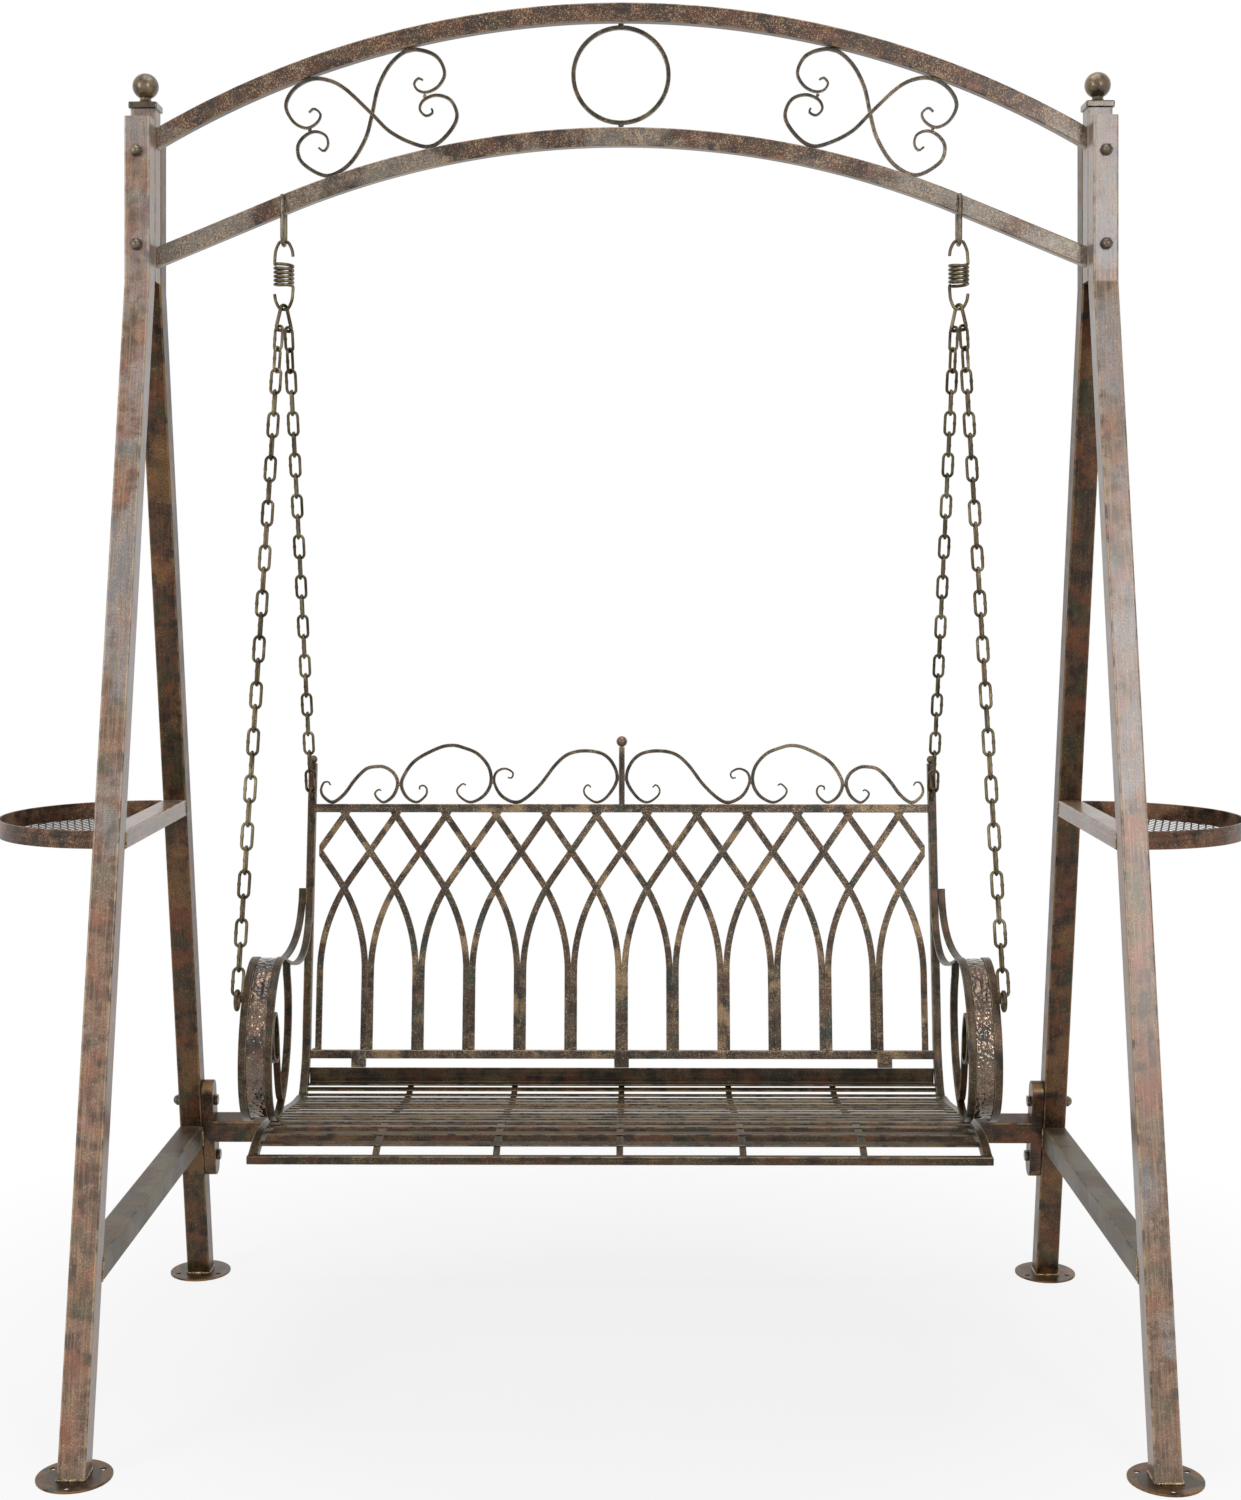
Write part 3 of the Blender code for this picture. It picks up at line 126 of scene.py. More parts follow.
for name, (place, aim, size, power) in studio["lamps"].items():
    lamp = bpy.data.objects.new(name, bpy.data.lights.new(name, "AREA"))
    lamp.data.shape = "RECTANGLE"
    lamp.data.size, lamp.data.size_y = size
    lamp.data.energy = power
    away = np.subtract(place, aim)
    flat = math.hypot(away[0], away[1])
    lamp.location = place
    lamp.rotation_euler = (math.atan2(flat, away[2]), 0, math.atan2(away[0], -away[1]))
    scene.collection.objects.link(lamp)

# White floor: seen by the camera it fades from its own lit surface to the white of the backdrop
floorMesh = bpy.data.meshes.new("floor")
floorMesh.from_pydata(studio["floor"]["corners"], [], [(0, 1, 2, 3)])
floor = bpy.data.objects.new("floor", floorMesh)
floor.location = (0, 0, studio["floor"]["height"])
scene.collection.objects.link(floor)
paper = bpy.data.materials.new("paperSweep")
paper.use_nodes = True
tree = paper.node_tree
tree.nodes.clear()
place = addNode(tree, "TexCoord")
far = addNode(tree, "VectorMath", {"operation": "LENGTH"}, [(0, place, "Object")])
fade = addNode(tree, "MapRange", studio["fade"], [("Value", far, "Value")])
fade = addNode(tree, "Math", {"operation": "MULTIPLY"}, [(0, fade, 0), (1, backdropRays(tree), 0)])
lit = addNode(tree, "BsdfDiffuse", {"Color": colour(studio["floor"]["colour"])})
glow = addNode(tree, "Emission", white)
both = addNode(tree, "MixShader", {}, [(0, fade, 0), (1, lit, 0), (2, glow, 0)])
addNode(tree, "OutputMaterial", {}, [("Surface", both, 0)])
floorMesh.materials.append(paper)
print("camera, lamps and floor placed")

# Finishes: steel and iron, painted dark and rubbed with bronze wax


# Patina in layers over a dark coat: brown and rust clouds, green where it settled, a wash of silver or gold wax
# that the height shifts into a painted sheen, brush streaks along the bar, light and dark specks, and metal on
# the edges that is partly painted edge highlight
def patina(name, user):
    material = bpy.data.materials.new(name)
    material.use_nodes = True
    tree = material.node_tree
    shader = tree.nodes["Principled BSDF"]
    spot = addNode(tree, "TexCoord")
    barPlace = addNode(tree, "Attribute", {"attribute_name": "barPlace"})
    worn = addNode(tree, "Attribute", {"attribute_name": "edgeWear"})

    # sizes are in metres: a noise scale is one over the size of its grain
    def grain(size, detail, roughness, shift=(0, 0, 0)):
        moved = addNode(tree, "Mapping", {"Location": shift}, [("Vector", spot, "Object")])
        look = {"Scale": 1 / size, "Detail": detail, "Roughness": roughness}
        return addNode(tree, "TexNoise", look, [("Vector", moved, 0)])

    def brushed(across, along, shift=(0, 0, 0)):
        spread = {"Location": shift, "Scale": (1 / across, 1 / across, 1 / along)}
        drawn = addNode(tree, "Mapping", spread, [("Vector", barPlace, "Vector")])
        look = {"Scale": 1.0, "Detail": 4.0, "Roughness": 0.6}
        return addNode(tree, "TexNoise", look, [("Vector", drawn, 0)])

    def scaled(source, exit, low, high, least, most, **more):
        ends = {"From Min": low, "From Max": high, "To Min": least, "To Max": most}
        return addNode(tree, "MapRange", {**more, **ends}, [("Value", source, exit)])

    # a mask that rises from 0 to its share between two values of its noise
    def between(source, low, high, most=1.0):
        return scaled(source, 0, low, high, 0.0, most, interpolation_type="SMOOTHSTEP")

    def layered(below, above, mask):
        mixed = addNode(tree, "Mix", {"data_type": "RGBA", 7: colour(above)}, [(0, mask, 0)])
        if isinstance(below, str):
            mixed.inputs[6].default_value = colour(below)
        else:
            tree.links.new(below.outputs[2], mixed.inputs[6])
        return mixed

    def added(first, second, share):
        factor = {"operation": "MULTIPLY_ADD", 1: share}
        return addNode(tree, "Math", factor, [(0, second, 0), (2, first, 0)])

    clouds = grain(user["cloud"], 5.0, 0.62)
    rust = grain(user["cloud"] * 1.7, 4.0, 0.6, (7.3, 2.1, 4.4))
    green = grain(user["cloud"] * 2.1, 4.0, 0.6, (1.7, 9.2, 3.1))
    wash = grain(user["wash"], 3.0, 0.55, (5.2, 3.3, 8.1))
    flecks = grain(user["fleck"], 2.0, 0.6, (0.7, 0.2, 0.5))
    light = brushed(user["streak"], user["streakLong"])
    deep = brushed(user["streak"] * 0.7, user["streakLong"] * 0.6, (3.1, 1.4, 2.2))
    # the wash is shifted by the height times the climb, a painted sheen: more silver higher up the legs and
    # towards the low ends of the arches; light flecks gather where clouds and wash are light
    height = addNode(tree, "SeparateXYZ", {}, [(0, spot, "Object")])
    height = scaled(height, 2, 0.2, 2.2, -0.5, 0.5)
    washAndSheen = added(added(wash, height, user["climb"]), clouds, 0.25)
    gathered = added(added(flecks, clouds, 0.26), wash, 0.14)
    # metal on the worn edges, and a painted highlight along them
    edges = between(clouds, 0.38, 0.56, user["edgeShare"])
    edges = addNode(tree, "Math", {"operation": "MULTIPLY"}, [(0, worn, "Fac"), (1, edges, 0)])
    layer = layered(user["dark"], user["brown"], between(clouds, 0.40, 0.60))
    for coat, mask in (
        ("rust", between(rust, 0.48, 0.64, user["rustShare"])),
        ("green", between(green, 0.50, 0.66, user["greenShare"])),
        # the wax wash, with the painted sheen that the height adds to it
        ("washColour", between(washAndSheen, user["washFrom"], user["washFrom"] + 0.14, user["washShare"])),
        ("streakColour", between(light, 0.46, 0.66, user["streakShare"])),
        ("dark", between(deep, 0.50, 0.66, user["streakShare"] * 0.8)),
        ("dark", between(added(flecks, clouds, -0.2), 0.36, 0.28, user["speckShare"])),
        ("bright", between(gathered, user["fleckFrom"] + 0.1, user["fleckFrom"] + 0.16, user["fleckShare"])),
        ("bright", edges),
    ):
        layer = layered(layer, user[coat], mask)
    rough = scaled(clouds, 0, 0.3, 0.7, user["rough"] - 0.08, user["rough"] + 0.10)
    raised = addNode(tree, "Bump", {"Strength": 0.6, "Distance": user["grit"]}, [("Height", flecks, 0)])
    for source, exit, entry in ((layer, 2, "Base Color"), (rough, 0, "Roughness"), (raised, 0, "Normal")):
        tree.links.new(source.outputs[exit], shader.inputs[entry])
    for entry, value in (("Metallic", "metallic"), ("Coat Weight", "coat"), ("Coat Roughness", "coatRough")):
        shader.inputs[entry].default_value = user[value]
    return material


# What a finish takes where it gives no value of its own: sizes in metres, shares from 0 to 1
common = {
    "streakColour": "#7a5d40", "cloud": 0.024, "fleck": 0.0017, "streak": 0.005, "streakLong": 0.12,
    "wash": 0.16, "washFrom": 0.66, "washShare": 0.4, "climb": 0.0, "rustShare": 0.6, "greenShare": 0.5,
    "streakShare": 0.25, "speckShare": 0.4, "fleckShare": 0.6, "fleckFrom": 0.69, "edgeShare": 0.5,
    "rough": 0.38, "metallic": 0.45, "coat": 0.25, "coatRough": 0.20, "grit": 0.0003,
}
coats = ("dark", "brown", "rust", "green", "bright", "washColour")
finishes = {
    # square steel tube, wax brushed on lengthways: grey taupe with copper streaks, and more silver higher up as
    # a painted sheen
    "brushedTaupeSteel": ("#503b2d #8a6c57 #965c45 #5c5f47 #dcbf96 #91969b", {
        "streakColour": "#b48d69", "cloud": 0.026, "streak": 0.0024, "streakLong": 0.07, "streakShare": 0.5,
        "wash": 0.18, "washFrom": 0.58, "washShare": 0.55, "climb": 0.26, "fleckFrom": 0.71, "fleckShare": 0.5,
        "rustShare": 0.75, "greenShare": 0.6, "metallic": 0.12, "coat": 0.45}),
    # the cross tubes, wiped smooth: olive grey
    "oliveTubeSteel": ("#352c20 #5a4c3a #5e4532 #50523f #a89672 #837e6c", {
        "cloud": 0.05, "wash": 0.12, "washFrom": 0.60, "washShare": 0.5, "fleckFrom": 0.76, "speckShare": 0.2,
        "streakShare": 0.3, "metallic": 0.1, "rough": 0.48, "coat": 0.05}),
    # the same tube's finish darkened as painted shade, as the back legs take it: dark red brown and green black
    # with gold brush marks
    "rustBrownSteel": ("#1f150b #4a301e #6f3c22 #2a321d #a07c4c #7d5a34", {
        "streakColour": "#6d4b2d", "cloud": 0.028, "streak": 0.003, "streakLong": 0.05, "streakShare": 0.35,
        "fleckFrom": 0.71, "greenShare": 0.85, "rustShare": 0.75, "wash": 0.08, "washShare": 0.55,
        "coat": 0.1}),
    # thinner coats on rims: warm satin brown
    "satinBrownSteel": ("#1b120b #4f3524 #70412a #2e2b1b #c0946e #8a664a", {
        "coat": 0.15, "wash": 0.09, "washFrom": 0.62, "washShare": 0.7}),
    # arches sponged with gold wax: fine gold speckle over dark red brown, with a painted silver sheen towards
    # the ends
    "spongedArchSteel": ("#2b1a10 #4e301f #633621 #3a3823 #c0a07a #857e74", {
        "streakShare": 0.1, "wash": 0.20, "washFrom": 0.05, "washShare": 0.7, "climb": -1.4, "fleckFrom": 0.66,
        "speckShare": 0.6, "cloud": 0.026, "fleck": 0.0018, "metallic": 0.3, "coat": 0.3}),
    # forged bar: near black, with silver gold on the high spots, and on the edges partly as painted highlight
    "darkBronzeIron": ("#19140d #3b2e21 #4b3020 #252e23 #a8987c #7c6c52", {
        "cloud": 0.018, "wash": 0.07, "washShare": 0.6, "fleckFrom": 0.70, "metallic": 0.5, "rough": 0.30,
        "coat": 0.3, "edgeShare": 0.8}),
    # turned knobs: waxed brown with gold and green patches
    "waxedBrownIron": ("#20150d #574026 #6a3f28 #2b3a2b #b59a6c #84704e", {
        "cloud": 0.016, "wash": 0.04, "washFrom": 0.64, "fleckFrom": 0.74, "fleckShare": 0.5, "greenShare": 0.8,
        "rough": 0.26, "coat": 0.5, "coatRough": 0.14, "metallic": 0.4}),
    # electro-bronzed chain and spring wire: smooth olive brown
    "bronzedChainWire": ("#3a3221 #5e523b #5c4832 #454632 #b5a888 #857a5e", {
        "cloud": 0.060, "wash": 0.05, "washFrom": 0.62, "washShare": 0.6, "fleckFrom": 0.80, "fleckShare": 0.1,
        "speckShare": 0.0, "streakShare": 0.0, "edgeShare": 0.1, "rough": 0.27, "metallic": 0.8, "coat": 0.0,
        "grit": 0.0}),
    # weld metal left bright under the wax: gold grey beads
    "giltWeld": ("#3a2c1a #6f5a3a #7c5230 #4a4a33 #dcc69a #a8926a", {
        "cloud": 0.010, "wash": 0.03, "washFrom": 0.60, "washShare": 0.7, "fleckFrom": 0.66, "fleckShare": 0.8,
        "rough": 0.30, "metallic": 0.6, "coat": 0.3}),
    # hammered copper-washed sheet: dimples that flash, green in the hollows
    "hammeredCopperSheet": ("#120d08 #3d2a1e #63392a #1d261a #d9bc98 #6a5242", {
        "cloud": 0.030, "wash": 0.07, "rough": 0.18, "metallic": 0.85, "coat": 1.0, "coatRough": 0.05,
        "greenShare": 0.7, "streakShare": 0.1, "fleckFrom": 0.72}),
    # flat back bars: green grey with gold wax in patches and on the edges, where it is partly painted highlight
    "giltOliveSteel": ("#221b14 #4f3f30 #5a3a27 #2b3931 #bfa37e #957a58", {
        "cloud": 0.022, "wash": 0.06, "washShare": 0.85, "fleckShare": 0.8, "greenShare": 0.9, "edgeShare": 0.6,
        "rough": 0.34}),
    # seat and arm bars: the same, rubbed darker by use
    "wornOliveSteel": ("#191209 #3c301f #54311d #2a3121 #94805c #574a33", {
        "cloud": 0.022, "fleckFrom": 0.71, "edgeShare": 0.8, "rustShare": 0.75, "coat": 0.05, "rough": 0.36}),
    # expanded steel sheet: dark brown
    "expandedSteel": ("#130d07 #2c1f14 #3a2415 #2d3420 #6a5334 #6b6150", {
        "cloud": 0.02, "coat": 0.0, "metallic": 0.0, "rough": 0.62, "washShare": 0.2}),
}
for name, (codes, own) in finishes.items():
    finishes[name] = patina(name, {**common, **dict(zip(coats, codes.split())), **own})
print("finishes made:", len(finishes))

# Shapes


def unit(vectors):
    return vectors / np.linalg.norm(vectors, axis=-1, keepdims=True)


# The length of a path up to each of its points
def walked(path):
    return np.concatenate([[0], np.cumsum(np.linalg.norm(np.diff(path, axis=0), axis=1))])


def evenly(path, count, first=0.0, last=1.0):
    lengths = walked(path)
    places = np.linspace(first, last, count) * lengths[-1]
    return np.stack([np.interp(places, lengths, path[:, k]) for k in range(path.shape[1])], 1)


def directions(path):
    return unit(np.gradient(path, axis=0))


def arc(centre, radius, start, end, count):
    angles = np.linspace(start, end, count)
    return np.stack([centre[0] + radius * np.cos(angles), centre[1] + radius * np.sin(angles)], 1)


def circle(radius, count, centre=(0, 0)):
    angles = np.arange(count) * math.tau / count
    return radius * np.stack([np.cos(angles), np.sin(angles)], 1) + centre


# Points from their three coordinates, each a row of values or one value for all
def inSpace(x, y, z):
    return np.stack(np.broadcast_arrays(x, y, z), 1)


def inYz(pairs, x=0.0):
    return inSpace(x, *np.asarray(pairs, float).T)


# The curve through given points whose tangent at each is half the step between its neighbours
def smooth(points, steps):
    points = np.asarray(points, float)
    ends = np.concatenate([[2 * points[0] - points[1]], points, [2 * points[-1] - points[-2]]])
    a, b, c, d = (ends[k : k + len(points) - 1, None] for k in range(4))
    t = (np.arange(steps) / steps)[None, :, None]
    curve = (2 * b + (c - a) * t + (2 * a - 5 * b + 4 * c - d) * t**2 + (3 * b - a - 3 * c + d) * t**3) / 2
    return np.concatenate([curve.reshape(-1, points.shape[1]), points[-1:]])


# A cubic curve from the first of four points to the last, drawn towards the other two
def bezier(points, shares):
    a, b, c, d = np.asarray(points, float)
    t = np.asarray(shares, float)[:, None]
    return a * (1 - t) ** 3 + 3 * b * t * (1 - t) ** 2 + 3 * c * t**2 * (1 - t) + d * t**3


# A flat outline, anticlockwise, whose corners are arcs that touch both their edges. Each point has its outward
# direction, and its wear, which also paints edge highlights: 1 halfway round an outer corner, 0 on the flats
def outline(corners, radius, steps=3):
    corners = np.asarray(corners, float)
    radius = np.broadcast_to(np.asarray(radius, float), len(corners))
    before = unit(corners - np.roll(corners, 1, 0))
    after = unit(np.roll(corners, -1, 0) - corners)
    turn = np.arctan2(before[:, 0] * after[:, 1] - before[:, 1] * after[:, 0], (before * after).sum(1))
    way = np.sign(turn)
    angles = np.arctan2(-before[:, 0], before[:, 1])[:, None] + turn[:, None] * np.linspace(0, 1, steps + 1)
    out = np.stack([np.cos(angles), np.sin(angles)], -1)
    touch = corners - before * (radius * np.tan(np.abs(turn) / 2))[:, None]
    centre = touch - (way * radius)[:, None] * out[:, 0]
    points = centre[:, None] + (way * radius)[:, None, None] * out
    wear = np.sin(np.linspace(0, math.pi, steps + 1)) * (way > 0)[:, None]
    return {"points": points.reshape(-1, 2), "out": out.reshape(-1, 2), "wear": wear.reshape(-1)}


# A rectangle with rounded corners: wide across the path, high square to it
def barSection(wide, high, radius, steps=3):
    return outline(np.array([[1, -1], [1, 1], [-1, 1], [-1, -1]]) * (wide / 2, high / 2), radius, steps)


# A round section, worn a little all round, which also paints a little highlight on it
def rodSection(radius, count=12, wear=0.3):
    out = circle(1.0, count)
    return {"points": radius * out, "out": out, "wear": np.full(count, wear)}


# A section carried along a path. Its first axis is the direction across made square to the
# path and its second is square to both, lengthened where the path turns by one over the cosine
# of half the turn. Swell grows the section outwards, squeeze scales its second axis, tilt leans
# the shading towards the path, and a cut slides an end's points along the path onto a plane
def carry(path, section, across=(1, 0, 0), closed=False, swell=0.0, squeeze=1.0, tilt=0.0,
          cuts=(None, None), wall=0.0, along=None, seed=0.0, capped=True):
    path = np.asarray(path, float)
    count, corners = len(path), len(section["out"])
    if along is None:
        ahead = unit(np.roll(path, -1, 0) - path)
        behind = np.roll(ahead, 1, 0)
        if not closed:
            ahead[-1] = behind[-1]
            behind[0] = ahead[0]
        tangent = unit(ahead + behind)
    else:
        ahead = tangent = np.broadcast_to(unit(np.asarray(along, float)), path.shape)
    across = np.asarray(across, float)
    first = unit(across - tangent * (across * tangent).sum(-1, keepdims=True))
    second = np.cross(tangent, first)
    stretch = 1 / (tangent * ahead).sum(-1, keepdims=True)
    grow, thin, lean = (
        np.broadcast_to(np.asarray(value, float), count)[:, None, None] for value in (swell, squeeze, tilt)
    )
    flat = section["points"] + section["out"] * grow
    flat = flat * np.concatenate([np.ones_like(thin), thin], -1)
    offset = flat[..., :1] * first[:, None] + flat[..., 1:] * (second * stretch)[:, None]
    cuts = [None if cut is None else np.asarray(cut, float) for cut in cuts]
    for end, cut in zip((0, -1), cuts):
        if cut is not None:
            slide = offset[end] @ cut / (tangent[end] @ cut)
            offset[end] -= tangent[end] * slide[:, None]
    facing = section["out"][:, :1] * first[:, None] + section["out"][:, 1:] * second[:, None]
    facing = np.cos(lean) * facing + np.sin(lean) * tangent[:, None]
    placeAlong = np.broadcast_to((walked(path) + seed)[:, None, None], (count, corners, 1))
    i = np.arange(count if closed else count - 1)[:, None]
    j = np.arange(corners)
    k, n = (j + 1) % corners, (i + 1) % count
    quads = np.broadcast_arrays(i * corners + j, i * corners + k, n * corners + k, n * corners + j)
    quads = np.stack(quads, -1).reshape(-1, 4)
    shape = {
        "points": (path[:, None] + offset).reshape(-1, 3),
        "wear": np.tile(section["wear"], count),
        "place": np.concatenate([flat, placeAlong], -1).reshape(-1, 3),
        "faces": [(quads, facing.reshape(-1, 3)[quads])],
    }
    if wall:
        thinner = np.asarray(swell) - wall
        inner = carry(path, section, across, closed, thinner, squeeze, tilt, cuts, 0.0, along, seed, False)
        quads, normals = inner["faces"][0]
        inner["faces"] = [(quads[:, ::-1], -normals[:, ::-1])]
        shape = together([shape, inner])
        inside = count * corners
        for ring, way in ((0, -1), (count - 1, 1)):
            o, p = ring * corners + j, ring * corners + k
            face = np.stack([o, inside + o, inside + p, p], -1)[:, ::-way]
            shape["faces"].append((face, np.broadcast_to(way * tangent[ring], (corners, 4, 3))))
    elif capped and not closed:
        for ring, way, cut in ((0, -1, cuts[0]), (count - 1, 1, cuts[1])):
            normal = tangent[ring]
            if cut is not None:
                normal = unit(cut) * np.sign(tangent[ring] @ cut)
            face = (ring * corners + j)[None, ::way]
            shape["faces"].append((face, np.broadcast_to(way * normal, (1, corners, 3))))
    return shape


# Several shapes as one
def together(shapes):
    start, faces = 0, []
    for shape in shapes:
        faces += [(corners + start, normals) for corners, normals in shape["faces"]]
        start += len(shape["points"])
    joined = {key: np.concatenate([shape[key] for shape in shapes]) for key in ("points", "wear", "place")}
    return {**joined, "faces": faces}


# The same shape with points that lie within a micrometre of each other made one
def welded(shape):
    grid = np.round(shape["points"] / 1e-6).astype(np.int64)
    _, first, back = np.unique(grid, axis=0, return_index=True, return_inverse=True)
    back = back.reshape(-1)
    faces = [(back[corners], normals) for corners, normals in shape["faces"]]
    return {**{key: shape[key][first] for key in ("points", "wear", "place")}, "faces": faces}


# The same shape with no normals of its own, so that its faces shade as they lie
def unguided(shape):
    return {**shape, "faces": [(corners, 0 * normals) for corners, normals in shape["faces"]]}


# Stations, swell and tilt that round off both ends of a path over a quarter circle. The tilt
# stops just short of facing along the path
def softEnds(path, radius, steps=3):
    path = np.asarray(path, float)
    turn = np.linspace(math.pi / 2, 0, steps + 1)[:, None]
    first, last = unit(path[1] - path[0]), unit(path[-1] - path[-2])
    start = path[0] + first * radius * (1 - np.sin(turn))
    end = (path[-1] - last * radius * (1 - np.sin(turn)))[::-1]
    full = np.concatenate([start, path[1:-1], end])
    angle = np.concatenate([-turn[:, 0], np.zeros(len(path) - 2), turn[::-1, 0]])
    return {"path": full, "swell": -radius * (1 - np.cos(angle)), "tilt": angle * 0.98}


# A bar or rod with softened ends
def softBar(path, section, radius=0.0008, steps=3, **more):
    ends = softEnds(path, radius, steps)
    path = ends.pop("path")
    return carry(path, section, **ends, **more)


# The world axis that is furthest from a direction
def furthestAxis(direction):
    return np.eye(3)[np.argmin(np.abs(direction))]


# An outline of (radius, height) turned about an axis
def lathe(turned, origin=(0, 0, 0), axis=(0, 0, 1), count=32, seed=0.0):
    radius, height = np.asarray(turned, float).T
    axis = np.asarray(axis, float)
    path = np.asarray(origin, float) + height[:, None] * axis
    lean = np.arctan2(-np.gradient(radius), np.gradient(height))
    across = furthestAxis(axis)
    return carry(path, rodSection(1.0, count), across, swell=radius - 1, tilt=lean, along=axis, seed=seed)


# A lumpy weld: a round section along a short path, with domed ends and two ripples, each given
# as its height against the radius, its length in metres and its share of the seed
weld = {"stations": 22, "sides": 10, "ends": 0.02, "ripples": ((0.12, 0.0017, 1), (0.08, 0.0041, 2))}


def weldBead(path, radius, seed=0.0):
    count = weld["stations"]
    path = evenly(np.asarray(path, float), count)
    long = np.linspace(0, np.linalg.norm(np.diff(path, axis=0), axis=1).sum(), count)
    dome = 1 - (2 * np.linspace(weld["ends"], 1 - weld["ends"], count) - 1) ** 6
    dome = np.sqrt(np.clip(dome, weld["ends"], 1))
    ripple = 1
    for high, step, share in weld["ripples"]:
        ripple = ripple + high * np.sin(long * math.tau / step + seed * share)
    section = rodSection(radius, weld["sides"])
    across = furthestAxis(path[-1] - path[0])
    return unguided(carry(path, section, across, swell=radius * (dome * ripple - 1), seed=seed))


# A bead along X, a half to either side of a place
def beadAlongX(place, half, radius, seed):
    return weldBead([np.subtract(place, (half, 0, 0)), np.add(place, (half, 0, 0))], radius, seed)


# One object from its shapes, riding on its body. A piece named after a node replaces it and hides it, and so
# does the piece that stands for a node of another name
def makePiece(name, shapes, finish, body, stands=None):
    shape = together(shapes)
    mesh = bpy.data.meshes.new(name)
    faces = [face for corners, _ in shape["faces"] for face in corners.tolist()]
    mesh.from_pydata(shape["points"].tolist(), [], faces)
    mesh.polygons.foreach_set("use_smooth", np.ones(len(mesh.polygons), bool))
    normals = np.concatenate([normals.reshape(-1, 3) for _, normals in shape["faces"]])
    mesh.normals_split_custom_set(normals.tolist())
    # edge wear per point, which the finishes also use to paint edge highlights
    worn = mesh.attributes.new("edgeWear", "FLOAT", "POINT")
    worn.data.foreach_set("value", shape["wear"].astype(np.float32))
    placed = mesh.attributes.new("barPlace", "FLOAT_VECTOR", "POINT")
    placed.data.foreach_set("vector", shape["place"].astype(np.float32).ravel())
    mesh.materials.append(finishes[finish])
    made = bpy.data.objects.new(name, mesh)
    scene.collection.objects.link(made)
    if body:
        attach(made, body)
    node = stands or "".join("_" + letter.lower() if letter.isupper() else letter for letter in name)
    if node in slotOf:
        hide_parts(node)
    return made


# Stand: legs, posts, cross pieces and feet

gap = 0.0003
legs = {
    "tube": 0.040, "wall": 0.002, "corner": 0.0034, "halfSpan": 0.766, "top": 1.994, "bend": 1.729,
    "spread": 0.420, "postLow": 1.737, "postHigh": 2.014, "bendSoft": 0.006, "weld": 0.0024, "weldLift": 0.001,
}
feet = {"radius": 0.0535, "thick": 0.003, "hole": 0.0045, "circle": 0.041, "soft": 0.0006}
legAxisY = legs["tube"] + gap
legSlope = (legs["spread"] - legAxisY) / (legs["bend"] - feet["thick"] - gap)
legAngle = math.atan(legSlope)
legHalfDepth = legs["tube"] / 2 / math.cos(legAngle)
legFace = legs["halfSpan"] + legs["tube"] / 2
tubeSection = barSection(legs["tube"], legs["tube"], legs["corner"], 4)


def legY(height):
    return legAxisY + (legs["bend"] - height) * legSlope


# A corner replaced by points of a quadratic curve that leaves and meets both sides smoothly
def softCorner(before, corner, after, reach):
    before, corner, after = (np.asarray(p, float) for p in (before, corner, after))
    start, end = corner + unit(before - corner) * reach, corner + unit(after - corner) * reach
    t = np.linspace(0, 1, 6)[:, None]
    return start * (1 - t) ** 2 + 2 * corner * t * (1 - t) + end * t**2


for side, where in sides:
    x = side * legs["halfSpan"]
    # the back legs take the darker finish as painted shade
    for row, rowName, finish in ((-1, "Front", "brushedTaupeSteel"), (1, "Back", "rustBrownSteel")):
        top, bend = (x, row * legAxisY, legs["top"]), (x, row * legAxisY, legs["bend"])
        foot = (x, row * legs["spread"], feet["thick"] + gap)
        path = np.concatenate([[top], softCorner(top, bend, foot, legs["bendSoft"]), [foot]])
        shape = carry(path, tubeSection, cuts=(None, (0, 0, 1)), wall=legs["wall"], seed=side + row * 3)
        makePiece(where + rowName + "Leg", [shape], finish, "frame")
        level = feet["thick"] + legs["weldLift"]
        ways = ((-1, -1), (1, -1), (1, 1), (-1, 1))
        around = [(x + a * legs["tube"] / 2, row * legs["spread"] + b * legHalfDepth, level) for a, b in ways]
        lines = zip(ways, around, around[1:] + around[:1])
        beads = [weldBead(line, legs["weld"], seed=x + way[0]) for way, *line in lines]
        makePiece(where + rowName + "FootWeld", beads, "giltWeld", "frame")
    path = [(x, 0, legs["postLow"]), (x, 0, legs["postHigh"])]
    post = carry(path, tubeSection, wall=legs["wall"], seed=side * 5)
    makePiece(where + "Post", [post], "brushedTaupeSteel", "frame")

# Square cap with softened edges, and a cove and a ball turned as one outline
cap = {
    "side": 0.046, "high": 0.011, "corner": 0.0028, "soft": 0.0022, "flare": 0.016, "neck": 0.009,
    "neckHigh": 0.018, "ball": 0.021, "sunk": 0.001, "coveShare": 0.55, "coveShape": 1.3, "poleOpen": 0.06,
}
cove = np.linspace(0, 1, 12)
spread = (1 - np.sin(cove * math.pi / 2)) ** cap["coveShape"]
radius = cap["neck"] + (cap["flare"] - cap["neck"]) * spread
height = cap["high"] - cap["sunk"] + cove * cap["neckHigh"] * cap["coveShare"]
middle = (0, cap["high"] + cap["neckHigh"] + cap["ball"] / 2)
ends = (-math.acos(cap["neck"] / cap["ball"]), math.pi / 2 - cap["poleOpen"])
knobLine = np.concatenate([np.stack([radius, height], 1), arc(middle, cap["ball"], *ends, 26)])
for side, where in sides:
    x, low = side * legs["halfSpan"], legs["postHigh"] + gap
    section = barSection(cap["side"], cap["side"], cap["corner"], 4)
    plate = softBar([(x, 0, low), (x, 0, low + cap["high"])], section, cap["soft"], 4, seed=side)
    knob = lathe(knobLine, (x, 0, low), count=36, seed=side)
    makePiece(where + "Finial", [plate, knob], "waxedBrownIron", "frame")

crossbar = {
    "height": 0.279, "long": 0.180, "thick": 0.020, "wide": 0.038, "boltOffset": 0.053, "stretcher": 0.2665,
    "corner": 0.003, "weld": 0.0019, "weldEnd": 0.002, "weldSunk": 0.0004, "inBracket": 0.001,
    "soft": 0.0015, "flat": 0.0002,
}
trayBar = {"low": 0.853, "high": 0.028}


